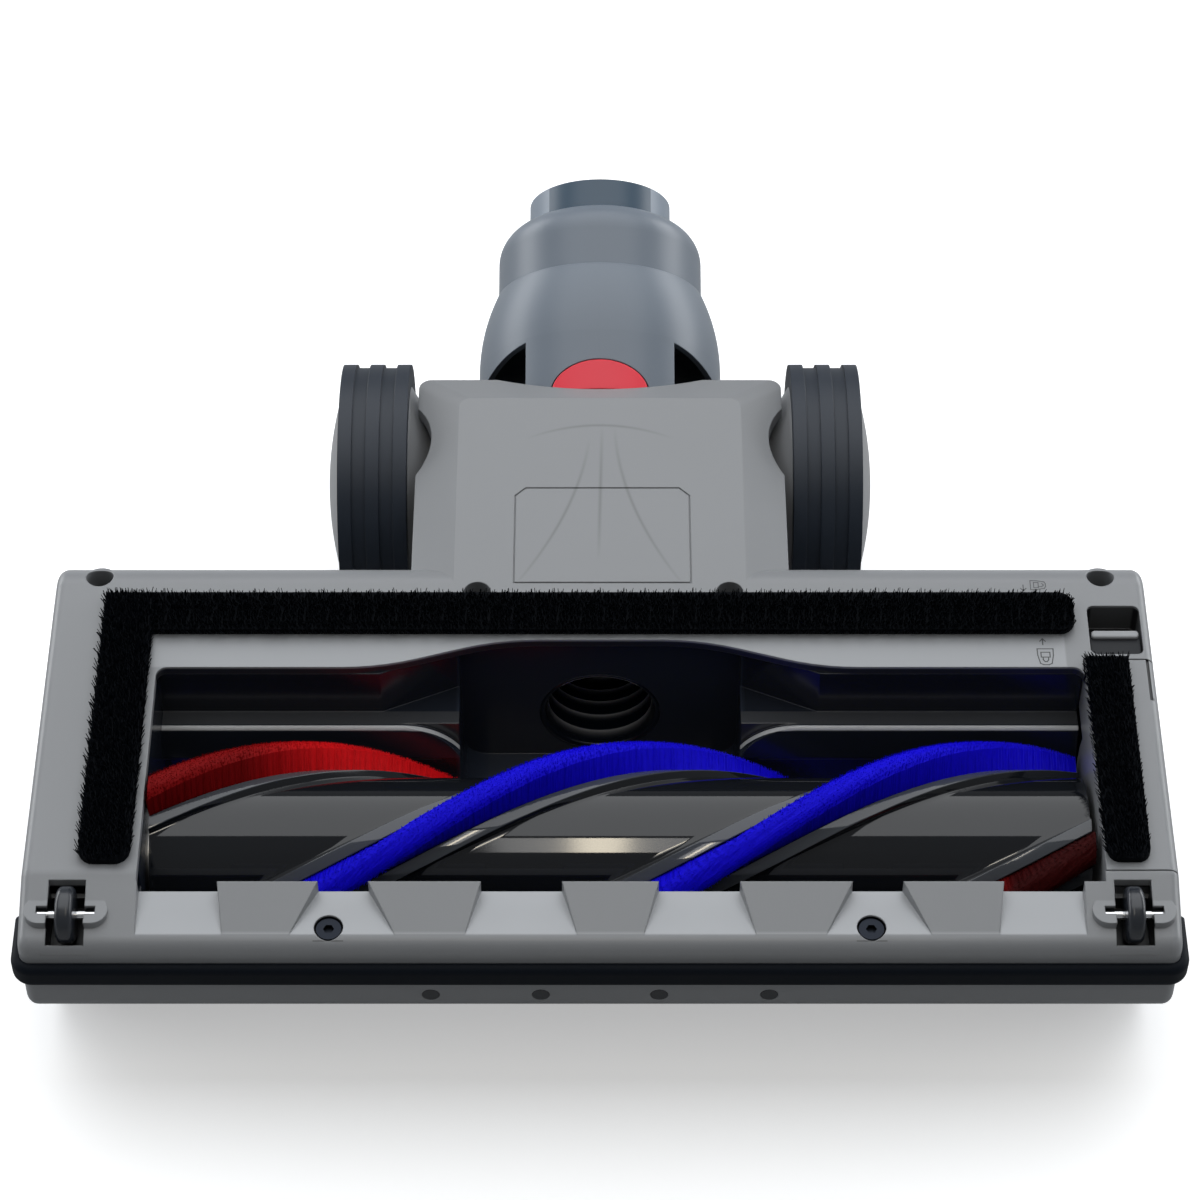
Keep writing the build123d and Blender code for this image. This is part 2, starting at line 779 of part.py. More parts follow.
# End cap: side of the chamber, carrying the brush's far bearing and the right felt strip
with BuildPart() as end_cap:
    with BuildSketch(Plane.XY.offset(parting_z)):
        with Locations((open_right_x + cap_gap, cap_front_y + cap_gap)):
            Rectangle(half_width - open_right_x, cap_rear_y - cap_front_y - 2 * cap_gap, align=Align.MIN)
    extrude(amount=sole_z - parting_z)
    add(outer_block, mode=Mode.INTERSECT)
    with BuildSketch(Plane.XY.offset(parting_z)):
        with Locations((open_right_x + cap_gap + cap_disc, cap_front_y + cap_gap + wall)):
            Rectangle(
                half_width - cap_plate - open_right_x - cap_gap - cap_disc,
                cap_rear_y - cap_front_y - 2 * cap_gap - 2 * wall,
                align=Align.MIN,
            )
    extrude(amount=sole_z - wall - parting_z, mode=Mode.SUBTRACT)
    with BuildSketch(cross_plane(open_right_x + cap_gap)):
        Circle(liner_r - cap_gap)
        with Locations((0, sole_z - brush_z - wall)):
            Rectangle(2 * liner_r, 2 * liner_r, align=(Align.CENTER, Align.MIN), mode=Mode.SUBTRACT)
        with Locations((cap_front_y + cap_gap, parting_z - brush_z)):
            Rectangle(liner_r, liner_r, align=(Align.MAX, Align.MIN), mode=Mode.SUBTRACT)
    extrude(amount=cap_disc)
    with BuildSketch(cross_plane(half_width - cap_plate)):
        Circle(liner_r - cap_gap)
        with Locations((0, parting_z - brush_z)):
            Rectangle(2 * liner_r, 2 * liner_r, align=(Align.CENTER, Align.MIN), mode=Mode.SUBTRACT)
    extrude(amount=cap_plate)
    with BuildSketch(cross_plane(open_right_x + cap_gap)):
        Circle(cap_hub_r)
    extrude(amount=half_width - cap_plate - open_right_x)
    with BuildSketch(cross_plane(open_right_x + cap_gap)):
        Circle(end_bearing_r + seat_gap)
    extrude(amount=end_bearing_length, mode=Mode.SUBTRACT)
    with BuildSketch(cross_plane(open_right_x + cap_gap)):
        Circle(pin_r + pin_gap)
    extrude(amount=pin_end_x - open_right_x + pin_gap, mode=Mode.SUBTRACT)
    line_x = half_width - cap_line_inset
    with BuildSketch(Plane.XY.offset(sole_z)):
        with Locations((line_x, cap_line_front_y)):
            Rectangle(cap_line, cap_rear_y - cap_line_front_y, align=Align.MIN)
            Rectangle(cap_line_inset, cap_line, align=Align.MIN)
    extrude(amount=-cap_line, mode=Mode.SUBTRACT)
    with Locations((latch_mid[0], cap_rear_y, tongue_z)):
        Box(
            tongue_width + 2 * slide_gap,
            2 * tongue_reach,
            tongue_t + 2 * slide_gap,
            mode=Mode.SUBTRACT,
        )
    end_cap.part.label = "end_cap"
export_step(end_cap.part, "parts/end_cap.step")

# End cap latch: slide in its recess, with a tongue into the cap
with BuildPart() as end_cap_latch:
    with BuildSketch(Plane.XY.offset(sole_z - latch_depth + slide_gap)):
        with Locations((latch_mid[0], latch_front_y + slide_gap + latch_length / 2)):
            RectangleRounded(latch_size[0] - 2 * slide_gap, latch_length, latch_floor)
    extrude(amount=latch_top_z - sole_z + latch_depth - slide_gap)
    with Locations((latch_mid[0], latch_front_y + slide_gap - tongue_reach / 2 + latch_floor, tongue_z)):
        Box(tongue_width, tongue_reach + 2 * latch_floor, tongue_t)
    with BuildSketch(Plane.XY.offset(latch_top_z)):
        with Locations((latch_mid[0], latch_front_y + slide_gap + latch_length - latch_lip)):
            RectangleRounded(latch_size[0] - 4 * slide_gap, 2 * latch_lip, latch_lip - latch_lip_round / 2)
    extrude(amount=latch_lip)
    fillet(end_cap_latch.faces().sort_by(Axis.Z)[-1].edges(), latch_lip_round)
    end_cap_latch.part.label = "end_cap_latch"
export_step(end_cap_latch.part, "parts/end_cap_latch.step")

# Light windows and their board
with BuildPart() as led_lenses:
    with BuildSketch(Plane.XZ.offset(-front_y)):
        with Locations(*[(x, lens_z) for x in lens_xs]):
            Circle(lens_r)
    extrude(amount=-lens_length)
    led_lenses.part.label = "led_lenses"
export_step(led_lenses.part, "parts/led_lenses.step")

with BuildPart() as led_board:
    with Locations((0, front_y + lens_length + board_t / 2, lens_z)):
        Box(board_length, board_t, board_height)
    led_board.part.label = "led_board"
export_step(led_board.part, "parts/led_board.step")


def screws(spots, seat_z):
    """Casing screws standing in their wells, heads up."""
    with BuildPart() as group:
        with BuildSketch(Plane.XY.offset(seat_z)):
            with Locations(*spots):
                Circle(screw_head_r)
        extrude(amount=screw_head)
        with BuildSketch(Plane.XY.offset(seat_z)):
            with Locations(*spots):
                Circle(screw_shank_r)
        extrude(amount=-screw_length)
        with BuildSketch(Plane.XY.offset(seat_z + screw_head)):
            with Locations(*spots):
                RegularPolygon(socket_r, 6)
        extrude(amount=-socket_depth, mode=Mode.SUBTRACT)
    return group


front_screws = screws(screw_spots["front"], lip_floor_z + well_floor)
front_screws.part.label = "front_screws"
export_step(front_screws.part, "parts/front_screws.step")

rear_screws = screws(screw_spots["rear"], rear_post_low_z + well_floor)
rear_screws.part.label = "rear_screws"
export_step(rear_screws.part, "parts/rear_screws.step")


def twisted(section):
    """Section run along the brush bar, turning with the strips."""
    length = brush_right_x - brush_left_x
    return Solid.extrude_linear_with_rotation(
        section, (brush_left_x, 0, brush_z), (length, 0, 0), twist_rate * length
    )


start_angle = strip_angle + twist_rate * brush_left_x
strip_turn = 360.0 / strip_count


# Brush bar: tube with three helical pairs of lips that hold the bristle strips
with BuildPart() as brush_core:
    with BuildSketch(cross_plane(brush_left_x)) as core_section:
        Circle(core_r)
        with PolarLocations(0, strip_count, start_angle):
            with Locations((rail_r / 2, 0)):
                Rectangle(rail_r, rail_width)
        with PolarLocations(0, strip_count, start_angle):
            with Locations((rail_r, 0)):
                Rectangle(2 * (rail_r - strip_root_r), strip_width + 2 * seat_gap, mode=Mode.SUBTRACT)
        Circle(core_bore_r, mode=Mode.SUBTRACT)
    add(twisted(core_section.sketch.face()))
    brush_core.part.label = "brush_core"
export_step(brush_core.part, "parts/brush_core.step")


def bristle_strip(index):
    """Dense helical strip of bristles, the index-th round the bar."""
    with BuildSketch(cross_plane(brush_left_x)) as section:
        with PolarLocations(0, 1, start_angle + index * strip_turn):
            with Locations(((strip_root_r + brush_tip_r) / 2, 0)):
                Rectangle(brush_tip_r - strip_root_r, strip_width)
    return twisted(section.sketch.face())


with BuildPart() as blue_bristles:
    add(bristle_strip(0))
    add(bristle_strip(1))
    blue_bristles.part.label = "blue_bristles"
export_step(blue_bristles.part, "parts/blue_bristles.step")

with BuildPart() as red_bristles:
    add(bristle_strip(2))
    red_bristles.part.label = "red_bristles"
export_step(red_bristles.part, "parts/red_bristles.step")


def brush_ring(left_x, length, outer_r, inner_r=0):
    """Disc or ring square to the brush axis."""
    with BuildPart() as ring:
        with BuildSketch(cross_plane(left_x)):
            Circle(outer_r)
            if inner_r:
                Circle(inner_r, mode=Mode.SUBTRACT)
        extrude(amount=length)
    return ring


# Motor held from the left inside the bar, and what turns on it
with BuildPart() as drive_motor:
    with BuildSketch(cross_plane(motor_left_x)):
        Circle(motor_r)
    extrude(amount=motor_right_x - motor_left_x)
    with BuildSketch(cross_plane(shaft_left_x - shaft_end_gap)):
        Circle(shaft_r + run_gap)
    extrude(amount=motor_right_x - shaft_left_x + shaft_end_gap, mode=Mode.SUBTRACT)
    drive_motor.part.label = "drive_motor"
export_step(drive_motor.part, "parts/drive_motor.step")

with BuildPart() as motor_mount:
    with BuildSketch(cross_plane(mount_left_x)):
        Circle(mount_r)
    extrude(amount=open_left_x - liner_wall - mount_left_x)
    with BuildSketch(cross_plane(motor_left_x)):
        Circle(motor_r + seat_gap)
    extrude(amount=cut_far, mode=Mode.SUBTRACT)
    motor_mount.part.label = "motor_mount"
export_step(motor_mount.part, "parts/motor_mount.step")

motor_shaft = brush_ring(shaft_left_x, coupling_left_x + coupling_length - shaft_left_x, shaft_r)
motor_shaft.part.label = "motor_shaft"
export_step(motor_shaft.part, "parts/motor_shaft.step")

drive_coupling = brush_ring(coupling_left_x, coupling_length, core_bore_r - seat_gap, shaft_r + seat_gap)
drive_coupling.part.label = "drive_coupling"
export_step(drive_coupling.part, "parts/drive_coupling.step")

core_bearing = brush_ring(brush_left_x, core_bearing_length, core_bore_r - seat_gap, motor_r + run_gap)
core_bearing.part.label = "core_bearing"
export_step(core_bearing.part, "parts/core_bearing.step")

with BuildPart() as brush_end_plug:
    with BuildSketch(cross_plane(brush_right_x - plug_length)):
        Circle(core_bore_r - seat_gap)
    extrude(amount=plug_length)
    with BuildSketch(cross_plane(brush_right_x)):
        Circle(pin_r)
    extrude(amount=pin_end_x - brush_right_x)
    brush_end_plug.part.label = "brush_end_plug"
export_step(brush_end_plug.part, "parts/brush_end_plug.step")

end_bearing = brush_ring(open_right_x + cap_gap, end_bearing_length, end_bearing_r, pin_r + run_gap)
end_bearing.part.label = "end_bearing"
export_step(end_bearing.part, "parts/end_bearing.step")

# Front rollers on their steel pins
for side, name in ((-1, "left"), (1, "right")):
    roller_plane = Plane(origin=(side * roller_x, roller_y, roller_z), x_dir=(0, 1, 0), z_dir=(1, 0, 0))
    with BuildPart() as roller:
        with BuildSketch(roller_plane):
            Circle(roller_r)
        extrude(amount=roller_width / 2, both=True)
        fillet(roller.edges(), roller_width / 3)
        with BuildSketch(roller_plane):
            Circle(roller_axle_r + run_gap)
        extrude(amount=roller_width, both=True, mode=Mode.SUBTRACT)
        roller.part.label = f"{name}_roller"
    export_step(roller.part, f"parts/{name}_roller.step")
    with BuildPart() as roller_axle:
        with BuildSketch(roller_plane):
            Circle(roller_axle_r)
        extrude(amount=roller_axle_length / 2 - seat_gap, both=True)
        roller_axle.part.label = f"{name}_roller_axle"
    export_step(roller_axle.part, f"parts/{name}_roller_axle.step")

# Rear wheels on stub axles fixed in the cheeks
tyre_out = tyre_in + tyre_width
for side, name in ((-1, "left"), (1, "right")):
    wheel_plane = Plane(origin=(0, wheel_y, wheel_z), x_dir=(side, 0, 0), z_dir=(0, -side, 0))
    wheel_axis = Axis((0, wheel_y, wheel_z), (side, 0, 0))
    band = tyre_width / tread_bands
    tread = []
    for i in range(tread_bands):
        band_r = wheel_r - groove_depth * (i % 2)
        tread += [(tyre_in + i * band, band_r), (tyre_in + (i + 1) * band, band_r)]
    with BuildPart() as tyre:
        add(turned(wheel_plane, wheel_axis, [(tyre_in, tyre_bore_r)] + tread + [(tyre_out, tyre_bore_r)]))
        tyre.part.label = f"{name}_tyre"
    export_step(tyre.part, f"parts/{name}_tyre.step")
    rim = tyre_bore_r - seat_gap
    bore = wheel_axle_r + run_gap
    hub_outline = (
        (hub_in, bore),
        (hub_in, hub_core_r),
        (tyre_in, rim),
        (tyre_out, rim),
        (tyre_out, rim - hub_web),
        (tyre_in + hub_web, rim - hub_web),
        (tyre_in + hub_web, bore + hub_web),
        (axle_end - slide_gap, bore + hub_web),
        (axle_end - slide_gap, bore),
    )
    with BuildPart() as wheel_hub:
        add(turned(wheel_plane, wheel_axis, hub_outline))
        wheel_hub.part.label = f"{name}_wheel_hub"
    export_step(wheel_hub.part, f"parts/{name}_wheel_hub.step")
    with BuildPart() as hub_cap:
        with BuildSketch(wheel_plane):
            with BuildLine():
                Line((tyre_out, 0), (tyre_out, rim))
                dome = TangentArc((tyre_out + cap_rise, 0), (tyre_out, rim), tangent=(0, 1))
                Line(dome @ 0, (tyre_out, 0))
            make_face()
        revolve(axis=wheel_axis)
        hub_cap.part.label = f"{name}_hub_cap"
    export_step(hub_cap.part, f"parts/{name}_hub_cap.step")
    axle_outline = (
        (cheek_in - axle_head, 0),
        (cheek_in - axle_head, wheel_axle_r + axle_head / 2),
        (cheek_in, wheel_axle_r + axle_head / 2),
        (cheek_in, wheel_axle_r),
        (axle_end - 2 * slide_gap, wheel_axle_r),
        (axle_end - 2 * slide_gap, 0),
    )
    with BuildPart() as wheel_axle:
        add(turned(wheel_plane, wheel_axis, axle_outline))
        wheel_axle.part.label = f"{name}_wheel_axle"
    export_step(wheel_axle.part, f"parts/{name}_wheel_axle.step")

# Tilt yoke: air tube between two ears, on trunnion pins in the cheeks
with BuildPart() as tilt_yoke:
    with BuildSketch(neck_plane(tube_start_l)):
        Circle(tube_r)
    extrude(amount=tube_end_l - tube_start_l)
    with BuildSketch(neck_plane(bearing_l + bearing_length + slide_gap)):
        Circle(retain_r)
    extrude(amount=tube_end_l - bearing_l - bearing_length - slide_gap)
    with BuildSketch(neck_side):
        Circle(yoke_ear_r)
    extrude(amount=yoke_ear_out, both=True)
    with BuildSketch(neck_plane(tube_start_l)):
        Circle(tube_bore_r)
    extrude(amount=cut_far, both=True, mode=Mode.SUBTRACT)
    with BuildSketch(neck_side):
        Circle(trunnion_r + run_gap)
    extrude(amount=cut_far, both=True, mode=Mode.SUBTRACT)
    tilt_yoke.part.label = "tilt_yoke"
export_step(tilt_yoke.part, "parts/tilt_yoke.step")

with BuildPart() as trunnion_pins:
    for side in (-1, 1):
        with BuildSketch(neck_side.offset(side * (tube_r + slide_gap))):
            Circle(trunnion_r)
        extrude(amount=side * (cheek_in + cheek_t - tube_r - slide_gap))
    trunnion_pins.part.label = "trunnion_pins"
export_step(trunnion_pins.part, "parts/trunnion_pins.step")


def dome_layer(outset):
    """Solid of the neck's dome, grown by outset."""
    with BuildPart() as dome:
        with BuildSketch(neck_side):
            with BuildLine():
                Line((rim_l, 0), (rim_l, rim_r + outset))
                Line((rim_l, rim_r + outset), (dome_l, dome_r + outset))
                TangentArc((dome_l, dome_r + outset), (seam_l, seam_r + outset), tangent=(1, 0))
                Line((seam_l, seam_r + outset), (seam_l, 0))
                Line((seam_l, 0), (rim_l, 0))
            make_face()
        revolve(axis=neck_axis)
    return dome.part


def button_plan(grow, low):
    """Half oval of the release button from height low, open to the rim, grown by grow."""
    with BuildPart() as plan:
        with BuildSketch(neck_top.offset(low)):
            with Locations((0, rim_l)):
                Ellipse(button_half + grow, button_top_l - rim_l + grow)
        extrude(amount=cut_far)
    return plan.part


# Neck shell: dome over the yoke, with two windows beside the button's tongue
with BuildPart() as neck_shell:
    add(dome_layer(0))
    add(dome_layer(-neck_wall), mode=Mode.SUBTRACT)
    with BuildSketch(neck_plane(bearing_l)):
        Circle(seam_r - neck_wall / 2)
        Circle(tube_r + run_gap, mode=Mode.SUBTRACT)
    extrude(amount=bearing_length)
    with BuildSketch(neck_top.offset(window_low)):
        for side in (-1, 1):
            with BuildLine():
                Line((side * tongue_half, 0), (side * tongue_half, window_l))
                RadiusArc(
                    (side * tongue_half, window_l), (side * window_half, window_side_l), side * window_r
                )
                Line((side * window_half, window_side_l), (side * window_half, 0))
                Line((side * window_half, 0), (side * tongue_half, 0))
            make_face()
    extrude(amount=cut_far, mode=Mode.SUBTRACT)
    add(button_plan(button_gap, shelf_low), mode=Mode.SUBTRACT)
    with BuildSketch(neck_top.offset(shelf_low)):
        with Locations((0, shelf_l)):
            Rectangle(2 * (button_half + button_gap + 2 * shelf_t), shelf_length)
    extrude(amount=shelf_t)
    for side in (-1, 1):
        with BuildSketch(neck_top.offset(shelf_low)):
            with Locations((side * (button_half + button_gap + 1.5 * shelf_t), shelf_l)):
                Rectangle(shelf_t, shelf_length)
        extrude(amount=shelf_rib)
    with BuildSketch(neck_top.offset(shelf_low)):
        with Locations((0, shelf_l)):
            Circle(button_stem_r + run_gap)
    extrude(amount=shelf_t, mode=Mode.SUBTRACT)
    neck_shell.part.label = "neck_shell"
export_step(neck_shell.part, "parts/neck_shell.step")

# Release button: pressed straight in, guided by its stem
with BuildPart() as release_button:
    add(dome_layer(button_proud))
    add(button_plan(0, dome_r - button_depth), mode=Mode.INTERSECT)
    with BuildSketch(neck_top.offset(shelf_low)):
        with Locations((0, shelf_l)):
            Circle(button_stem_r)
    extrude(amount=dome_r - button_depth - shelf_low)
    release_button.part.label = "release_button"
export_step(release_button.part, "parts/release_button.step")

# Neck collar with its rounded shoulder
with BuildPart() as neck_collar:
    with BuildSketch(neck_side):
        with BuildLine():
            Line((seam_l, collar_r - neck_wall), (seam_l, collar_r))
            Line((seam_l, collar_r), (shoulder_l, collar_r))
            TangentArc((shoulder_l, collar_r), (tip_l, tip_r + shoulder_step), tangent=(1, 0))
            Line((tip_l, tip_r + shoulder_step), (tip_l, tip_r + seat_gap))
            Line((tip_l, tip_r + seat_gap), (tip_l - collar_end, tip_r + seat_gap))
            Line((tip_l - collar_end, tip_r + seat_gap), (tip_l - collar_end, collar_r - neck_wall))
            Line((tip_l - collar_end, collar_r - neck_wall), (seam_l, collar_r - neck_wall))
        make_face()
    revolve(axis=neck_axis)
    neck_collar.part.label = "neck_collar"
export_step(neck_collar.part, "parts/neck_collar.step")

# Wand connector: bored tip with flats on its sides, and its power contacts
contact_spots = [(side * contact_spread, -(connector_bore_r + tip_r) / 2) for side in (-1, 1)]
with BuildPart() as wand_connector:
    with BuildSketch(neck_plane(connector_in_l)):
        Circle(connector_flange_r)
    extrude(amount=tip_l - collar_end - connector_in_l)
    with BuildSketch(neck_plane(connector_in_l)):
        Circle(tip_r)
    extrude(amount=end_l - connector_in_l)
    for side in (-1, 1):
        with BuildSketch(neck_plane(end_l)):
            with BuildLine():
                Polyline(
                    (side * flat_half, tip_r),
                    (side * tip_r, flat_low),
                    (side * 2 * tip_r, flat_low),
                    (side * 2 * tip_r, tip_r),
                    close=True,
                )
            make_face()
        extrude(amount=tip_l - end_l, mode=Mode.SUBTRACT)
    with BuildSketch(neck_plane(connector_in_l)):
        Circle(connector_bore_r)
        with Locations(*contact_spots):
            Circle(contact_r + seat_gap)
    extrude(amount=cut_far, mode=Mode.SUBTRACT)
    wand_connector.part.label = "wand_connector"
export_step(wand_connector.part, "parts/wand_connector.step")

with BuildPart() as contact_pins:
    with BuildSketch(neck_plane(end_l)):
        with Locations(*contact_spots):
            Circle(contact_r)
    extrude(amount=-contact_length)
    contact_pins.part.label = "contact_pins"
export_step(contact_pins.part, "parts/contact_pins.step")
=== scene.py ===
"""Finishes and soft pieces of a motorised vacuum floor head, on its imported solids, lying sole up."""

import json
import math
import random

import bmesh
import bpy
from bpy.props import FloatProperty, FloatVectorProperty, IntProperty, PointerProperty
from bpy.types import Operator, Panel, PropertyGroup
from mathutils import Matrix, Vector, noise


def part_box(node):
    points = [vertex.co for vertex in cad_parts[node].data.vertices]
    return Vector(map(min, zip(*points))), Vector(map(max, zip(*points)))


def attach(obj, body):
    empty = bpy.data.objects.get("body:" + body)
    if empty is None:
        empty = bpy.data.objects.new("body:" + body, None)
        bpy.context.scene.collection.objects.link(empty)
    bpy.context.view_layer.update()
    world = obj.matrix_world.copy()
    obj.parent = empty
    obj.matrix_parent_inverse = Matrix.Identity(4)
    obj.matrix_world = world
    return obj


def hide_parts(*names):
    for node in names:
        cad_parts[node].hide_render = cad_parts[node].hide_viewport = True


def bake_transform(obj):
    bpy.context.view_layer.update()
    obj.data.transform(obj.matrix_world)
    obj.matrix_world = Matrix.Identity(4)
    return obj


bl_info = {
    "name": "Vacuum Floor Head",
    "version": (1, 0, 0),
    "blender": (4, 5, 0),
    "location": "3D View > Sidebar > Floor Head",
    "description": "Pile strips, brush bar, hose, tyres, finishes and a studio for a vacuum floor head",
    "category": "Object",
}

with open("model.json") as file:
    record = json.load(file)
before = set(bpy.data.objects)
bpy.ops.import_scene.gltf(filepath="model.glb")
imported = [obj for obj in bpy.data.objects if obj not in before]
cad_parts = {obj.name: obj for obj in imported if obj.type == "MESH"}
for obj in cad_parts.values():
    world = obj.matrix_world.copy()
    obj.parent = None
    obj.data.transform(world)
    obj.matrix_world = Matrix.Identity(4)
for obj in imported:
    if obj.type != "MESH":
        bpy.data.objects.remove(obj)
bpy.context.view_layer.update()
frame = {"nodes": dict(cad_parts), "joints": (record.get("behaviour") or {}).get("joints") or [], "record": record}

# Places taken from the frame
joints = {joint["name"]: joint for joint in frame["joints"]}
BRUSH_AXIS = Vector(joints["brush_spin"]["pos_m"])
TILT_POINT = Vector(joints["neck_tilt"]["pos_m"])
NECK_DIR = Vector(joints["neck_swivel"]["axis"]).normalized()
ACROSS = Vector((1, 0, 0))
BACK = Vector((0, 1, 0))
UP = Vector((0, 0, 1))


# Settings that a user would change


def length(name, description, default):
    """A length in metres, shown in the scene's units."""
    return FloatProperty(
        name=name, description=description, default=default, min=0, precision=5, unit="LENGTH"
    )


def colour(name, description, default):
    """A colour of one finish."""
    return FloatVectorProperty(
        name=name, description=description, default=default, size=3, min=0, max=1, subtype="COLOR"
    )


class FloorHeadSizes(PropertyGroup):
    """Sizes of the pieces that are added to the solids."""

    pile_length: length("Pile Length", "Length of the felt strips' bristles", 0.0035)
    pile_pitch: length("Pile Pitch", "Distance between bristles of the felt strips", 0.00043)
    pile_radius: length("Pile Bristle Radius", "Radius of one felt bristle at its root", 0.00017)
    tuft_pitch: length("Tuft Pitch", "Distance between bristles of the brush strips", 0.0004)
    tuft_radius: length("Tuft Bristle Radius", "Radius of one brush bristle at its root", 0.00016)
    hose_rib_pitch: length("Hose Rib Pitch", "Distance from rib to rib of the hose", 0.005)
    hose_rib_depth: length("Hose Rib Depth", "Height of a rib of the hose", 0.0018)
    hose_wall: length("Hose Wall", "Thickness of the hose's skin", 0.0005)


class FloorHeadColours(PropertyGroup):
    """Colours of the finishes."""

    sole: colour("Sole", "Satin grey of the casing", (0.203, 0.21, 0.22))
    neck: colour("Neck", "Bluish grey of the neck", (0.132, 0.157, 0.19))
    connector: colour("Connector", "Slate of the wand connector", (0.036, 0.066, 0.1))
    black: colour("Gloss Black", "Black of the brush bar", (0.006, 0.007, 0.009))
    chamber: colour("Chamber Black", "Black of the brush chamber", (0.012, 0.015, 0.022))
    # The rail colour is a painted reflection drawn on the rails' faces
    rail: colour("Rail", "Dark grey of the brush bar's rails", (0.045, 0.05, 0.058))
    rubber: colour("Rubber", "Black of the bumper and hose", (0.002, 0.004, 0.008))
    felt: colour("Felt", "Black of the pile strips", (0.0014, 0.003, 0.006))
    blue: colour("Blue Bristle", "Blue of two brush strips", (0.005, 0.001, 0.64))
    red: colour("Red Bristle", "Red of one brush strip", (0.6, 0.003, 0.006))
    tyre: colour("Tyre", "Dark slate of the tyres", (0.005, 0.011, 0.022))
    hub: colour("Hub", "Light grey of the wheel hubs", (0.25, 0.255, 0.265))
    roller: colour("Roller", "Dark grey of the front rollers", (0.018, 0.021, 0.027))
    button: colour("Button", "Red of the release button", (0.7, 0.012, 0.034))


class FloorHeadStage(PropertyGroup):
    """Camera and light."""

    camera_place: FloatVectorProperty(
        name="Camera Place",
        description="Where the camera stands",
        default=(0, -0.49456, 0.71394),
        size=3,
        subtype="TRANSLATION",
        unit="LENGTH",
    )
    camera_pitch: FloatProperty(
        name="Camera Pitch",
        description="Angle that the camera looks down from the horizon",
        default=math.radians(50),
        subtype="ANGLE",
    )
    lens: FloatProperty(name="Lens", description="Focal length in millimetres", default=112.5, min=1)
    sky: FloatProperty(
        name="Sky", description="Brightness of the even light from all round", default=0.22, min=0
    )
    seed: IntProperty(name="Seed", description="Seed of the bristles' scatter", default=7)


# Helpers


def add_piece(name, bm, finish, body, replaced=()):
    """Object of a finished bmesh that rides on a body and stands for the solids it replaces."""
    mesh = bpy.data.meshes.new(name)
    bm.to_mesh(mesh)
    bm.free()
    mesh.materials.append(finish)
    piece = bpy.data.objects.new(name, mesh)
    bpy.context.scene.collection.objects.link(piece)
    if body:
        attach(piece, body)
    if replaced:
        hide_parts(*replaced)
    return piece


def smooth(piece, sharp_degrees=35):
    """Smooth shading, broken at edges sharper than the given angle."""
    piece.data.shade_smooth()
    piece.data.set_sharp_from_angle(angle=math.radians(sharp_degrees))


def join_seams(bm, reach=1e-6):
    """Closes seams and turns the faces outwards."""
    bmesh.ops.remove_doubles(bm, verts=bm.verts, dist=reach)
    bmesh.ops.recalc_face_normals(bm, faces=bm.faces)


# Shader node groups


def new_group(name, inputs, outputs):
    """Empty shader group with named sockets; an input is (name, socket type, default)."""
    group = bpy.data.node_groups.new(name, "ShaderNodeTree")
    for title, kind, default in inputs:
        socket = group.interface.new_socket(name=title, in_out="INPUT", socket_type=kind)
        socket.default_value = default
    for title, kind in outputs:
        group.interface.new_socket(name=title, in_out="OUTPUT", socket_type=kind)
    enter = group.nodes.new("NodeGroupInput")
    leave = group.nodes.new("NodeGroupOutput")
    return group, enter, leave


def noise_node(tree, vector, scale, detail):
    """Noise texture on a vector; scale is a number or a socket."""
    node = tree.nodes.new("ShaderNodeTexNoise")
    node.inputs["Detail"].default_value = detail
    tree.links.new(vector, node.inputs["Vector"])
    if isinstance(scale, bpy.types.NodeSocket):
        tree.links.new(scale, node.inputs["Scale"])
    else:
        node.inputs["Scale"].default_value = scale
    return node.outputs["Fac"]


def mix_colour(tree, factor, first, second):
    """Colour between two sockets or plain colours."""
    node = tree.nodes.new("ShaderNodeMix")
    node.data_type = "RGBA"
    tree.links.new(factor, node.inputs["Factor"])
    for socket, value in ((node.inputs["A"], first), (node.inputs["B"], second)):
        if isinstance(value, bpy.types.NodeSocket):
            tree.links.new(value, socket)
        else:
            socket.default_value = (*value, 1)
    return node.outputs["Result"]


def map_range(tree, value, low, high):
    """Value from 0 to 1 spread over low to high, which are numbers or sockets."""
    node = tree.nodes.new("ShaderNodeMapRange")
    tree.links.new(value, node.inputs["Value"])
    for title, end in (("To Min", low), ("To Max", high)):
        if isinstance(end, bpy.types.NodeSocket):
            tree.links.new(end, node.inputs[title])
        else:
            node.inputs[title].default_value = end
    return node.outputs["Result"]


def math_node(tree, operation, *values):
    """Math node over numbers or sockets."""
    node = tree.nodes.new("ShaderNodeMath")
    node.operation = operation
    for socket, value in zip(node.inputs, values):
        if isinstance(value, bpy.types.NodeSocket):
            tree.links.new(value, socket)
        else:
            socket.default_value = value
    return node.outputs[0]


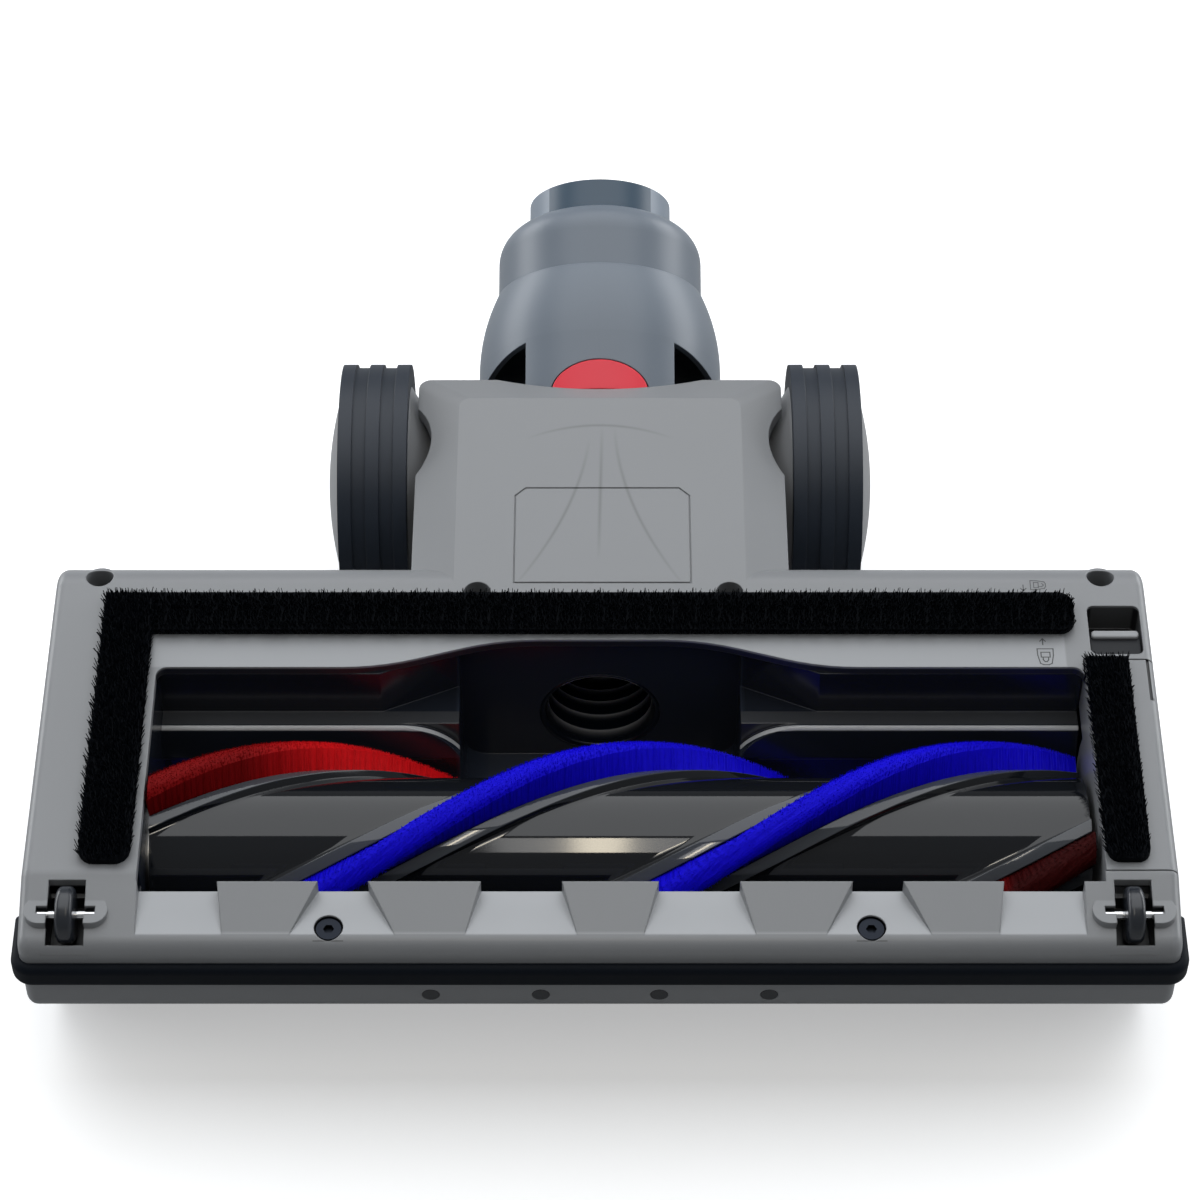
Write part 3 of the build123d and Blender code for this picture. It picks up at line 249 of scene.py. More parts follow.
def moulded_group():
    """Cloudy colour, uneven gloss and fine grain of moulded plastic or rubber."""
    if "Moulded Surface" in bpy.data.node_groups:
        return bpy.data.node_groups["Moulded Surface"]
    group, enter, leave = new_group(
        "Moulded Surface",
        [
            ("Light", "NodeSocketColor", (0.5, 0.5, 0.5, 1)),
            ("Dark", "NodeSocketColor", (0.4, 0.4, 0.4, 1)),
            ("Cloud Scale", "NodeSocketFloat", 40),
            ("Grain Scale", "NodeSocketFloat", 2500),
            ("Smooth", "NodeSocketFloat", 0.3),
            ("Rough", "NodeSocketFloat", 0.4),
        ],
        [
            ("Colour", "NodeSocketColor"),
            ("Roughness", "NodeSocketFloat"),
            ("Height", "NodeSocketFloat"),
        ],
    )
    place = group.nodes.new("ShaderNodeTexCoord").outputs["Object"]
    cloud = noise_node(group, place, enter.outputs["Cloud Scale"], 4)
    grain = noise_node(group, place, enter.outputs["Grain Scale"], 2)
    tint = mix_colour(group, cloud, enter.outputs["Dark"], enter.outputs["Light"])
    gloss = map_range(group, cloud, enter.outputs["Smooth"], enter.outputs["Rough"])
    group.links.new(tint, leave.inputs["Colour"])
    group.links.new(gloss, leave.inputs["Roughness"])
    group.links.new(grain, leave.inputs["Height"])
    return group


def flow_line_group():
    """Faint mark that the melt left along x = Start X + Drift * y + Bend * y * y from Start Y."""
    if "Flow Line" in bpy.data.node_groups:
        return bpy.data.node_groups["Flow Line"]
    group, enter, leave = new_group(
        "Flow Line",
        [
            ("Place", "NodeSocketVector", (0, 0, 0)),
            ("Start X", "NodeSocketFloat", 0),
            ("Start Y", "NodeSocketFloat", 0),
            ("Drift", "NodeSocketFloat", 0),
            ("Bend", "NodeSocketFloat", 0),
            ("Length", "NodeSocketFloat", 0.03),
            ("Width", "NodeSocketFloat", 0.0006),
        ],
        [("Mark", "NodeSocketFloat")],
    )
    split = group.nodes.new("ShaderNodeSeparateXYZ")
    group.links.new(enter.outputs["Place"], split.inputs[0])
    run = math_node(group, "SUBTRACT", enter.outputs["Start Y"], split.outputs["Y"])
    squared = math_node(group, "MULTIPLY", run, run)
    drift = math_node(group, "MULTIPLY", run, enter.outputs["Drift"])
    bend = math_node(group, "MULTIPLY", squared, enter.outputs["Bend"])
    line = math_node(group, "ADD", math_node(group, "ADD", enter.outputs["Start X"], drift), bend)
    away = math_node(group, "ABSOLUTE", math_node(group, "SUBTRACT", split.outputs["X"], line))
    near = math_node(group, "SUBTRACT", 1, math_node(group, "DIVIDE", away, enter.outputs["Width"]))
    near = math_node(group, "MAXIMUM", near, 0)
    along = math_node(group, "DIVIDE", run, enter.outputs["Length"])
    inside = math_node(group, "MULTIPLY", along, math_node(group, "SUBTRACT", 1, along))
    fade = math_node(group, "MULTIPLY", math_node(group, "MAXIMUM", inside, 0), 4)
    group.links.new(math_node(group, "MULTIPLY", near, fade), leave.inputs["Mark"])
    return group


def zone_group():
    """Mask that is 1 inside a box and falls to 0 over a soft edge."""
    if "Zone" in bpy.data.node_groups:
        return bpy.data.node_groups["Zone"]
    group, enter, leave = new_group(
        "Zone",
        [
            ("Centre", "NodeSocketVector", (0, 0, 0)),
            ("Half", "NodeSocketVector", (0.01, 0.01, 0.01)),
            ("Soft", "NodeSocketFloat", 0.0003),
        ],
        [("Mask", "NodeSocketFloat")],
    )
    place = group.nodes.new("ShaderNodeTexCoord").outputs["Object"]
    for operation, other in (("SUBTRACT", "Centre"), ("ABSOLUTE", None), ("SUBTRACT", "Half")):
        node = group.nodes.new("ShaderNodeVectorMath")
        node.operation = operation
        group.links.new(place, node.inputs[0])
        if other:
            group.links.new(enter.outputs[other], node.inputs[1])
        place = node.outputs["Vector"]
    split = group.nodes.new("ShaderNodeSeparateXYZ")
    group.links.new(place, split.inputs[0])
    out = math_node(group, "MAXIMUM", split.outputs["X"], split.outputs["Y"])
    out = math_node(group, "MAXIMUM", out, split.outputs["Z"])
    inside = math_node(group, "DIVIDE", math_node(group, "MULTIPLY", out, -1), enter.outputs["Soft"])
    inside = math_node(group, "MINIMUM", math_node(group, "MAXIMUM", inside, 0), 1)
    group.links.new(inside, leave.inputs["Mask"])
    return group


def zone_mask(tree, centre, half, soft=0.0003):
    """Mask of a box, placed in a material."""
    zone = tree.nodes.new("ShaderNodeGroup")
    zone.node_tree = zone_group()
    zone.inputs["Centre"].default_value = centre
    zone.inputs["Half"].default_value = half
    zone.inputs["Soft"].default_value = soft
    return zone.outputs["Mask"]


# Finishes


def made_once(make):
    """Gives back a finish that is there already, and else makes it."""

    def find_or_make(name, *values, **options):
        return bpy.data.materials.get(name) or make(name, *values, **options)

    return find_or_make


def new_finish(name):
    """New material and its shader."""
    finish = bpy.data.materials.new(name)
    finish.use_nodes = True
    return finish, finish.node_tree.nodes["Principled BSDF"]


def shaded(tone, factor):
    """Colour made darker or lighter by a factor."""
    return tuple(min(1, channel * factor) for channel in tone)


def tint_zones(finish, zones):
    """Lays other colours over a finish; a zone is (centre, half size, soft edge, colour)."""
    tree = finish.node_tree
    base = tree.nodes["Principled BSDF"].inputs["Base Color"]
    colour_now = base.links[0].from_socket
    for centre, half, soft, tint in zones:
        colour_now = mix_colour(tree, zone_mask(tree, centre, half, soft), colour_now, tint)
    tree.links.new(colour_now, base)


def tint_marked(finish, attribute, tint, sharpness=1):
    """Lays another colour over a finish where a mesh attribute is 1."""
    tree = finish.node_tree
    base = tree.nodes["Principled BSDF"].inputs["Base Color"]
    mark = tree.nodes.new("ShaderNodeAttribute")
    mark.attribute_name = attribute
    share = math_node(tree, "POWER", mark.outputs["Fac"], sharpness)
    tree.links.new(mix_colour(tree, share, base.links[0].from_socket, tint), base)


@made_once
def moulded(name, tone, gloss, grain=0.1, cloud=40, depth=0.12, coat=0, specular=0.5, edge=0.0004):
    """Moulded plastic or rubber; gloss is (smooth, rough), edge the rounding of its edges."""
    finish, shader = new_finish(name)
    tree = finish.node_tree
    surface = tree.nodes.new("ShaderNodeGroup")
    surface.node_tree = moulded_group()
    surface.inputs["Light"].default_value = (*shaded(tone, 1 + depth), 1)
    surface.inputs["Dark"].default_value = (*shaded(tone, 1 - depth), 1)
    surface.inputs["Cloud Scale"].default_value = cloud
    surface.inputs["Smooth"].default_value = gloss[0]
    surface.inputs["Rough"].default_value = gloss[1]
    bump = tree.nodes.new("ShaderNodeBump")
    bump.inputs["Strength"].default_value = grain
    bump.inputs["Distance"].default_value = 0.0001
    tree.links.new(surface.outputs["Height"], bump.inputs["Height"])
    if edge:
        rounding = tree.nodes.new("ShaderNodeBevel")
        rounding.samples = 6
        rounding.inputs["Radius"].default_value = edge
        tree.links.new(rounding.outputs["Normal"], bump.inputs["Normal"])
    tree.links.new(surface.outputs["Colour"], shader.inputs["Base Color"])
    tree.links.new(surface.outputs["Roughness"], shader.inputs["Roughness"])
    tree.links.new(bump.outputs["Normal"], shader.inputs["Normal"])
    shader.inputs["Coat Weight"].default_value = coat
    shader.inputs["Specular IOR Level"].default_value = specular
    return finish


@made_once
def marked_sole(name, tone, black):
    """Casing plastic with painted light on the lip channels and behind the opening, painted shade in wells,
    recesses and gaps, and flow lines on the panel.
    """
    finish = moulded(name, tone, (0.3, 0.4), grain=0.1, cloud=28, depth=0.05)
    # Colour of the painted shade in wells, recesses and gaps
    painted_shade = shaded(black, 0.7)
    zones = [
        # Painted light: channels between the pads of the front lip, drawn lighter
        ((0.0023, -0.0295, 0.0535), (0.1016, 0.0058, 0.0024), 0.0003, shaded(tone, 1.7)),
        # Painted light on the strip behind the brush opening, and painted shade on the opening's rear wall
        ((0.002, 0.0393, 0.0598), (0.103, 0.005, 0.0007), 0.0008, shaded(tone, 1.6)),
        ((0.0045, 0.0381, 0.0582), (0.105, 0.0062, 0.0013), 0.0003, shaded(black, 3)),
        # Painted shade in the recess of the latch and in the gap beside the end cap
        ((0.11645, 0.04535, 0.055), (0.0062, 0.0073, 0.0045), 0.0004, painted_shade),
        ((0.1229, 0.03105, 0.0596), (0.0004, 0.006, 0.0005), 0.0001, painted_shade),
    ]
    # Painted shade in the wells of the front rollers and of the front screws
    roller_x, screw_x = 0.1142, 0.058
    for x in (-roller_x, roller_x):
        zones.append(((x, -0.0305, 0.0525), (0.0042, 0.007, 0.005), 0.0002, painted_shade))
        zones.append(((x, -0.0305, 0.0562), (0.0064, 0.0011, 0.0016), 0.0001, painted_shade))
    for x in (-screw_x, screw_x):
        zones.append(((x, -0.0334, 0.0535), (0.0033, 0.0033, 0.0017), 0.0001, painted_shade))
    tint_zones(finish, zones)
    strength = 0.8
    # Turn in degrees, then start, drift, bend and length
    lines = (
        (0, -0.0025, 0.104, -0.1, -6.0, 0.048),
        (0, 0.0005, 0.108, -0.02, 0.0, 0.042),
        (0, 0.0035, 0.108, 0.02, 6.0, 0.052),
        (90, -0.1039, 0.0175, -0.49, 14.0, 0.035),
    )
    tree = finish.node_tree
    place = tree.nodes.new("ShaderNodeTexCoord").outputs["Object"]
    mark = None
    for turn, start_x, start_y, drift, bend, reach in lines:
        turned = tree.nodes.new("ShaderNodeMapping")
        turned.inputs["Rotation"].default_value = (0, 0, math.radians(turn))
        tree.links.new(place, turned.inputs["Vector"])
        node = tree.nodes.new("ShaderNodeGroup")
        node.node_tree = flow_line_group()
        tree.links.new(turned.outputs["Vector"], node.inputs["Place"])
        node.inputs["Start X"].default_value = start_x
        node.inputs["Start Y"].default_value = start_y
        node.inputs["Drift"].default_value = drift
        node.inputs["Bend"].default_value = bend
        node.inputs["Length"].default_value = reach
        line = node.outputs["Mark"]
        mark = line if mark is None else math_node(tree, "MAXIMUM", mark, line)
    panel = zone_mask(tree, (0, 0.09, 0.058), (0.034, 0.03, 0.01))
    faint = math_node(tree, "MULTIPLY", math_node(tree, "MULTIPLY", mark, panel), strength)
    base = tree.nodes["Principled BSDF"].inputs["Base Color"]
    tree.links.new(mix_colour(tree, faint, base.links[0].from_socket, shaded(tone, 0.6)), base)
    return finish


@made_once
def chamber(name, tone):
    """Gloss black of the brush chamber with painted light on the duct recess and the ledge, and a painted
    highlight along the ledge's edge.
    """
    finish = moulded(name, tone, (0.16, 0.24), grain=0.03)
    # Colour of the painted light on the ledge
    ledge = (0.042, 0.044, 0.048)
    zones = [
        # Painted light on the duct recess and on the ledge's top
        ((0, 0.034, 0.03), (0.033, 0.013, 0.03), 0.0015, shaded(tone, 2.4)),
        ((0.0045, 0.0326, 0.044), (0.104, 0.002, 0.0004), 0.0002, ledge),
    ]
    # Painted light on the ledge's ends where they turn down into the duct, and a painted highlight along a step
    # line below the ledge
    for side in (-1, 1):
        zones.append(((side * 0.0385, 0.0311, 0.038), (0.0064, 0.0004, 0.0065), 0.0002, ledge))
        zones.append(((side * 0.068, 0.0272, 0.0356), (0.032, 0.0008, 0.0002), 0.0001, ledge))
    tint_zones(finish, zones)
    tree = finish.node_tree
    place = tree.nodes.new("ShaderNodeTexCoord").outputs["Object"]
    split = tree.nodes.new("ShaderNodeSeparateXYZ")
    tree.links.new(place, split.inputs[0])
    # Painted highlight along the ridge, which is level, then follows an arc down into the duct
    level, arc, arc_start = 0.0438, 0.01504, 0.045
    fade, fade_start = 0.0003, 1.6
    inward = math_node(tree, "SUBTRACT", arc_start, math_node(tree, "ABSOLUTE", split.outputs["X"]))
    inward = math_node(tree, "MINIMUM", math_node(tree, "MAXIMUM", inward, 0), arc)
    rest = math_node(tree, "SUBTRACT", arc * arc, math_node(tree, "MULTIPLY", inward, inward))
    height = math_node(tree, "ADD", math_node(tree, "SQRT", rest), level - arc)
    away = math_node(tree, "ABSOLUTE", math_node(tree, "SUBTRACT", split.outputs["Z"], height))
    near = math_node(tree, "SUBTRACT", fade_start, math_node(tree, "DIVIDE", away, fade))
    near = math_node(tree, "MINIMUM", math_node(tree, "MAXIMUM", near, 0), 1)
    edge = zone_mask(tree, (0.0045, 0.0299, 0.038), (0.104, 0.0006, 0.0065), 0.0001)
    base = tree.nodes["Principled BSDF"].inputs["Base Color"]
    ridge = math_node(tree, "MULTIPLY", near, edge)
    tree.links.new(mix_colour(tree, ridge, base.links[0].from_socket, (0.42, 0.425, 0.43)), base)
    return finish


@made_once
def faced_connector(name, tone, side):
    """Slate connector with painted light on the flats of its two sides."""
    finish = moulded(name, tone, (0.32, 0.42), grain=0.1, depth=0.05)
    flat_x = 0.0166
    # Painted light: the flats are drawn in the given lighter colour
    flats = [((x, 0.16, 0.08), (0.004, 0.06, 0.06), 0.0001, side) for x in (-flat_x, flat_x)]
    tint_zones(finish, flats)
    return finish


@made_once
def latch_black(name, tone):
    """Black slide with a painted highlight on the lip on top."""
    finish = moulded(name, tone, (0.45, 0.55), specular=0.25)
    # Painted highlight on the slide's rounded lip
    lip = ((0.1165, 0.0453, 0.0598), (0.0055, 0.012, 0.0011), 0.0002, (0.3, 0.31, 0.32))
    tint_zones(finish, [lip])
    return finish


@made_once
def hose_skin(name, tone):
    """Soft black hose, drawn lighter than the bumper's rubber as painted light, with a painted highlight along its
    inner ridges and on its mouth.
    """
    finish = moulded(name, shaded(tone, 1.6), (0.18, 0.26), grain=0.03, edge=0)
    tint_marked(finish, "painted_highlight", (0.45, 0.46, 0.48), sharpness=7)
    return finish


@made_once
def brush_bar(name, tone, rail):
    """Polished bar whose rails carry a painted reflection in a greyer colour."""
    finish = moulded(name, tone, (0.04, 0.07), grain=0.004, edge=0)
    tint_marked(finish, "rail", rail)
    return finish


@made_once
def pile(name, tone, root=0.35, specular=0.2, shade=()):
    """Bristles with painted shade towards the root and uneven tone; the mesh's tip attribute is 1 at the free
    ends.
    """
    finish, shader = new_finish(name)
    tree = finish.node_tree
    tip = tree.nodes.new("ShaderNodeAttribute")
    tip.attribute_name = "tip"
    place = tree.nodes.new("ShaderNodeTexCoord").outputs["Object"]
    patch = noise_node(tree, place, 900, 2)
    # Painted shade: the roots are drawn darker than the tips
    rise = mix_colour(tree, tip.outputs["Fac"], shaded(tone, root), tone)
    tint = mix_colour(tree, map_range(tree, patch, 0, 0.5), rise, shaded(tone, 0.55))
    tree.links.new(tint, shader.inputs["Base Color"])
    tree.links.new(map_range(tree, patch, 0.5, 0.75), shader.inputs["Roughness"])
    shader.inputs["Specular IOR Level"].default_value = specular
    tint_zones(finish, [(*zone, shaded(tone, factor)) for *zone, factor in shade])
    return finish


@made_once
def drawn_metal(name, tone, gloss):
    """Metal with fine drawing marks round X."""
    finish, shader = new_finish(name)
    tree = finish.node_tree
    place = tree.nodes.new("ShaderNodeTexCoord").outputs["Object"]
    turn = tree.nodes.new("ShaderNodeMapping")
    turn.inputs["Scale"].default_value = (8, 1, 1)
    tree.links.new(place, turn.inputs["Vector"])
    streak = noise_node(tree, turn.outputs["Vector"], 600, 3)
    tree.links.new(mix_colour(tree, streak, shaded(tone, 0.8), tone), shader.inputs["Base Color"])
    tree.links.new(map_range(tree, streak, *gloss), shader.inputs["Roughness"])
    shader.inputs["Metallic"].default_value = 1
    return finish


# Painted shade on the ends of the red strip, where the chamber's sides shade it: centre, half size, soft edge and
# brightness
RED_END_SHADE = (
    ((-0.12, 0, 0.03), (0.06, 0.1, 0.1), 0.018, 0.28),
    ((0.12, 0, 0.03), (0.045, 0.1, 0.1), 0.015, 0.05),
)


def finishes():
    """The finish of each material slot of the record."""
    tones = bpy.context.scene.floor_head_colours
    return {
        "sole_grey": marked_sole("Casing Grey", tones.sole, tones.black),
        "neck_grey": moulded("Neck Grey", tones.neck, (0.32, 0.42), grain=0.1, depth=0.04),
        # The connector's flats get a lighter neck grey as painted light
        "connector_slate": faced_connector("Connector Slate", tones.connector, shaded(tones.neck, 1.5)),
        "chamber_black": chamber("Chamber Black", tones.chamber),
        "brush_black": brush_bar("Brush Bar Black", tones.black, tones.rail),
        "inner_black": moulded("Inner Black", shaded(tones.black, 1.6), (0.45, 0.55), specular=0.25),
        "bumper_rubber": moulded("Bumper Rubber", tones.rubber, (0.5, 0.65), grain=0.15, specular=0.12),
        "hose_rubber": hose_skin("Hose Skin", tones.rubber),
        "felt_black": pile("Felt Pile", tones.felt, root=0.5, specular=0.06),
        "bristle_blue": pile("Blue Bristle", tones.blue, root=0.75, specular=0.08),
        "bristle_red": pile("Red Bristle", tones.red, root=0.6, specular=0.08, shade=RED_END_SHADE),
        "tyre_slate": moulded("Tyre Slate", tones.tyre, (0.45, 0.6), grain=0.2, depth=0.15),
        "hub_grey": moulded("Hub Grey", tones.hub, (0.32, 0.42), depth=0.05),
        "roller_grey": moulded("Roller Grey", tones.roller, (0.2, 0.3), grain=0.03),
        "axle_steel": drawn_metal("Bright Pin", (0.8, 0.81, 0.83), (0.12, 0.22)),
        "screw_steel": drawn_metal("Blackened Screw", (0.02, 0.023, 0.03), (0.3, 0.45)),
        "motor_steel": drawn_metal("Motor Can", (0.45, 0.45, 0.46), (0.3, 0.45)),
        "contact_brass": drawn_metal("Contact Brass", (0.82, 0.62, 0.27), (0.15, 0.3)),
        "board_green": moulded("Lamp Board", (0.01, 0.09, 0.035), (0.2, 0.3)),
        "lens_dark": moulded("Smoked Window", (0.012, 0.014, 0.018), (0.05, 0.08), grain=0),
        "button_red": moulded("Button Red", tones.button, (0.35, 0.45), grain=0.08, depth=0.04),
    }


# Bristles

# Radius at a bristle's tip, as a share of that at its root
TIP_SHARE = 0.4


def stand_bristle(bm, tip_layer, root, lean, reach, radius):
    """One three-sided bristle from root along lean, thinner at its tip."""
    turn = UP.rotation_difference(lean).to_matrix().to_4x4()
    matrix = Matrix.Translation(root) @ turn @ Matrix.Translation((0, 0, reach / 2))
    made = bmesh.ops.create_cone(
        bm,
        cap_ends=True,
        cap_tris=True,
        segments=3,
        radius1=radius,
        radius2=radius * TIP_SHARE,
        depth=reach,
        matrix=matrix,
    )
    for vert in made["verts"]:
        vert[tip_layer] = 1 if (vert.co - root).dot(lean) > reach / 2 else 0


def linked_edges(verts):
    """Edges at the given vertices, each once and always in the same order."""
    return list(dict.fromkeys(edge for vert in verts for edge in vert.link_edges))


def clump_since(bm, started):
    """Vertices, edges and faces that were made after the given vertices."""
    clump = [vert for vert in bm.verts if vert not in started]
    faces = dict.fromkeys(face for vert in clump for face in vert.link_faces)
    return clump + linked_edges(clump) + list(faces)


def ruffle(bm, tip_layer, reach, waves):
    """Moves the free ends about, so that copies of a clump differ."""
    for vert in bm.verts:
        if vert[tip_layer]:
            vert.co += noise.noise_vector(vert.co * waves) * reach


class FLOORHEAD_OT_felts(Operator):
    """Make the black pile strips on the sole"""

    bl_idname = "floor_head.felts"
    bl_label = "Felt Strips"

    # Rounding of the free end and height of the solid bedding, as shares of the strip's width and height
    END_ROUND = 0.3
    BEDDING = 0.7
    # Bristles along one clump, how far they splay to the sides, and how unevenly they lean
    COLUMNS = 12
    SPLAY = 0.2
    SPREAD = 0.12
    # Shortest and longest bristle, as shares of the pile's length
    REACH = (0.82, 1.05)
    # How far the tips are moved about, and how fine that pattern is
    RUFFLE = 0.0005
    RUFFLE_WAVES = 900
    # Node, the way it runs, its nap and which of its ends is free: 0 the first, 1 the last
    STRIPS = (
        ("rear_felt", ACROSS, -0.35, 1),
        ("left_felt", BACK, 0, 0),
        ("right_felt", BACK, 0.3, 0),
    )

    def execute(self, context):
        sizes = context.scene.floor_head_sizes
        finish = finishes()["felt_black"]
        for node, along, nap, free in self.STRIPS:
            low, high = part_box(node)
            self.strip(node, low, high, along, nap, free, sizes, finish)
        return {"FINISHED"}

    def strip(self, node, low, high, along, nap, free, sizes, finish):
        """Pile that fills a solid's box, with its free end rounded, and leans with its nap."""
        scatter = random.Random(bpy.context.scene.floor_head_stage.seed)
        run = (high - low).dot(along)
        side = UP.cross(along)
        width = abs((high - low).dot(side))
        middle = (low + high) / 2
        bm = bmesh.new()
        tip = bm.verts.layers.float.new("tip")
        bedding = bmesh.ops.create_cube(bm, size=1)["verts"]
        thick = (high.z - low.z) * self.BEDDING
        bmesh.ops.scale(bm, vec=(run, width, thick), verts=bedding)
        bmesh.ops.translate(bm, vec=(run / 2, 0, thick / 2), verts=bedding)
        end_r = width * self.END_ROUND
        end_x = run * free
        corners = [vert for vert in bedding if abs(vert.co.x - end_x) < end_r]
        upright = [edge for edge in bm.edges if all(vert in corners for vert in edge.verts)]
        upright = [edge for edge in upright if abs(edge.verts[0].co.z - edge.verts[1].co.z) > thick / 2]
        bmesh.ops.bevel(
            bm, geom=upright, offset=end_r, segments=5, profile=0.5, affect="EDGES", material=-1
        )
        rows = max(2, round(width / sizes.pile_pitch))
        clumps = max(1, round(run / (self.COLUMNS * sizes.pile_pitch)))
        step = run / clumps
        started = set(bm.verts)
        for row in range(rows):
            for column in range(self.COLUMNS):
                out = (row + 0.5 + scatter.uniform(-0.4, 0.4)) / rows * 2 - 1
                ahead = (column + scatter.uniform(0.1, 0.9)) * step / self.COLUMNS
                root = Vector((ahead, out * width / 2, 0))
                lean_x = scatter.gauss(0, self.SPREAD)
                lean_y = nap + self.SPLAY * out**3 + scatter.gauss(0, self.SPREAD)
                lean = Vector((lean_x, lean_y, 1)).normalized()
                reach = sizes.pile_length * scatter.uniform(*self.REACH)
                stand_bristle(bm, tip, root, lean, reach, sizes.pile_radius)
        bmesh.ops.spin(
            bm,
            geom=clump_since(bm, started),
            cent=(0, 0, 0),
            axis=UP,
            dvec=(step, 0, 0),
            angle=0,
            steps=clumps - 1,
            use_duplicate=True,
        )
        for vert in bm.verts:
            short = max(0, end_r - abs(vert.co.x - end_x))
            if short and vert not in started:
                vert.co.y *= 1 - (end_r - math.sqrt(max(0, end_r**2 - short**2))) / (width / 2)
        turn = ACROSS.rotation_difference(along).to_matrix().to_4x4()
        start = middle - along * run / 2
        start.z = low.z
        bmesh.ops.transform(bm, matrix=Matrix.Translation(start) @ turn, verts=bm.verts)
        ruffle(bm, tip, self.RUFFLE, self.RUFFLE_WAVES)
        add_piece(node + "_pile", bm, finish, "head", [node])


class FLOORHEAD_OT_brush(Operator):
    """Make the brush bar with its helical rails and bristle strips"""

    bl_idname = "floor_head.brush"
    bl_label = "Brush Bar"

    # Radii round the bar's axis, and the height above the core from which a rail carries the painted reflection
    CORE = 0.0172
    RAIL = 0.019
    ROOT = 0.0155
    TIP = 0.0255
    RAIL_TOP = 0.0016
    # Half a strip's width, the unevenness of its tips, and how much lower its sides are than its middle
    STRIP_HALF = 0.0036
    STUBBLE = 0.0003
    CROWN_DROP = 0.0016
    # Turn per metre along the bar, and where the first strip stands at X = 0
    TWIST = -2 * math.pi / 0.228
    STRIP_ANGLE = math.radians(52)
    STRIPS = 3
    # Points round the bar between two strips
    BAND_STEPS = 24
    # Bristles along one clump, how far they splay to the sides, and how unevenly they lean
    COLUMNS = 10
    SPLAY = 0.02
    SPREAD = 0.015
    SPREAD_ALONG = 0.03
    # How far the tips are moved about, and how fine that pattern is
    RUFFLE = 0.00015
    RUFFLE_WAVES = 1500
    # One side of a rail: distance from the strip's middle and height above the core
    RAIL_PROFILE = (
        (0.0036, -0.0017), (0.0038, 0.0014), (0.0039, 0.0017), (0.0041, 0.0018), (0.0066, 0.0018),
        (0.0069, 0.00172), (0.0071, 0.0015), (0.0074, 0.0004), (0.0076, 0.0001), (0.008, 0),
    )

    def execute(self, context):
        low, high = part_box("brush_core")
        self.left = low.x
        self.right = high.x
        self.core()
        self.strips("blue_bristles", (0, 1), "bristle_blue")
        self.strips("red_bristles", (2,), "bristle_red")
        return {"FINISHED"}

    def strip_angle(self, index, x):
        """Angle of a strip from +Y towards +Z at a place along the bar."""
        return self.STRIP_ANGLE + 2 * math.pi / self.STRIPS * index + self.TWIST * x

    def core(self):
        """Round bar with a raised rail along both sides of each strip."""
        bm = bmesh.new()
        third = 2 * math.pi / self.STRIPS
        side = [(off / self.RAIL, self.CORE + rise) for off, rise in self.RAIL_PROFILE]
        free = third - 2 * side[-1][0]
        steps = self.BAND_STEPS
        arc = [(side[-1][0] + free * i / steps, self.CORE) for i in range(1, steps)]
        outline = side + arc + [(third - around, radius) for around, radius in reversed(side)]
        rail = bm.verts.layers.float.new("rail")
        count = self.STRIPS * len(outline)
        ring = bmesh.ops.create_circle(bm, segments=count, radius=self.CORE)["verts"]
        for i, vert in enumerate(ring):
            around, radius = outline[i % len(outline)]
            around += third * (i // len(outline))
            vert.co = Vector((math.cos(around), math.sin(around), 0)) * radius
            # Marks the rails for the painted reflection
            vert[rail] = 1 if radius > self.CORE + self.RAIL_TOP else 0
        upright = Matrix(((0, 0, 1, 0), (1, 0, 0, 0), (0, 1, 0, 0), (0, 0, 0, 1)))
        turned = Matrix.Rotation(self.strip_angle(0, self.left), 4, "X") @ upright
        start = Matrix.Translation((self.left, BRUSH_AXIS.y, BRUSH_AXIS.z))
        bmesh.ops.transform(bm, matrix=start @ turned, verts=ring)
        self.wind(bm, list(bm.edges))
        join_seams(bm)
        finish = finishes()["brush_black"]
        piece = add_piece("brush_bar_core", bm, finish, "brush_bar", ["brush_core"])
        smooth(piece, 30)

    def wind(self, bm, edges, steps=150):
        """Runs a closed outline along the bar, turning with the strips, and closes its ends."""
        run = self.right - self.left
        bmesh.ops.spin(
            bm,
            geom=edges,
            cent=BRUSH_AXIS,
            axis=ACROSS,
            dvec=(run / steps, 0, 0),
            angle=self.TWIST * run,
            steps=steps,
        )
        bmesh.ops.holes_fill(bm, edges=[edge for edge in bm.edges if edge.is_boundary], sides=0)

    def bedding(self, bm, index):
        """Solid middle of one bristle strip, a little lower than the tips."""
        turn = self.strip_angle(index, self.left)
        out = Vector((0, math.cos(turn), math.sin(turn)))
        side = ACROSS.cross(out)
        start = Vector((self.left, BRUSH_AXIS.y, BRUSH_AXIS.z))
        half = self.STRIP_HALF * 0.95
        crown = self.TIP - self.STUBBLE
        shares = [i / 5 - 1 for i in range(11)]
        outline = [(share * half, crown - self.CROWN_DROP * abs(share) ** 3) for share in shares]
        outline = [(-half, self.ROOT), *outline, (half, self.ROOT)]
        ring = bmesh.ops.create_circle(bm, segments=len(outline), radius=half)["verts"]
        for vert, (across, reach) in zip(ring, outline):
            vert.co = start + side * across + out * reach
        self.wind(bm, linked_edges(ring))

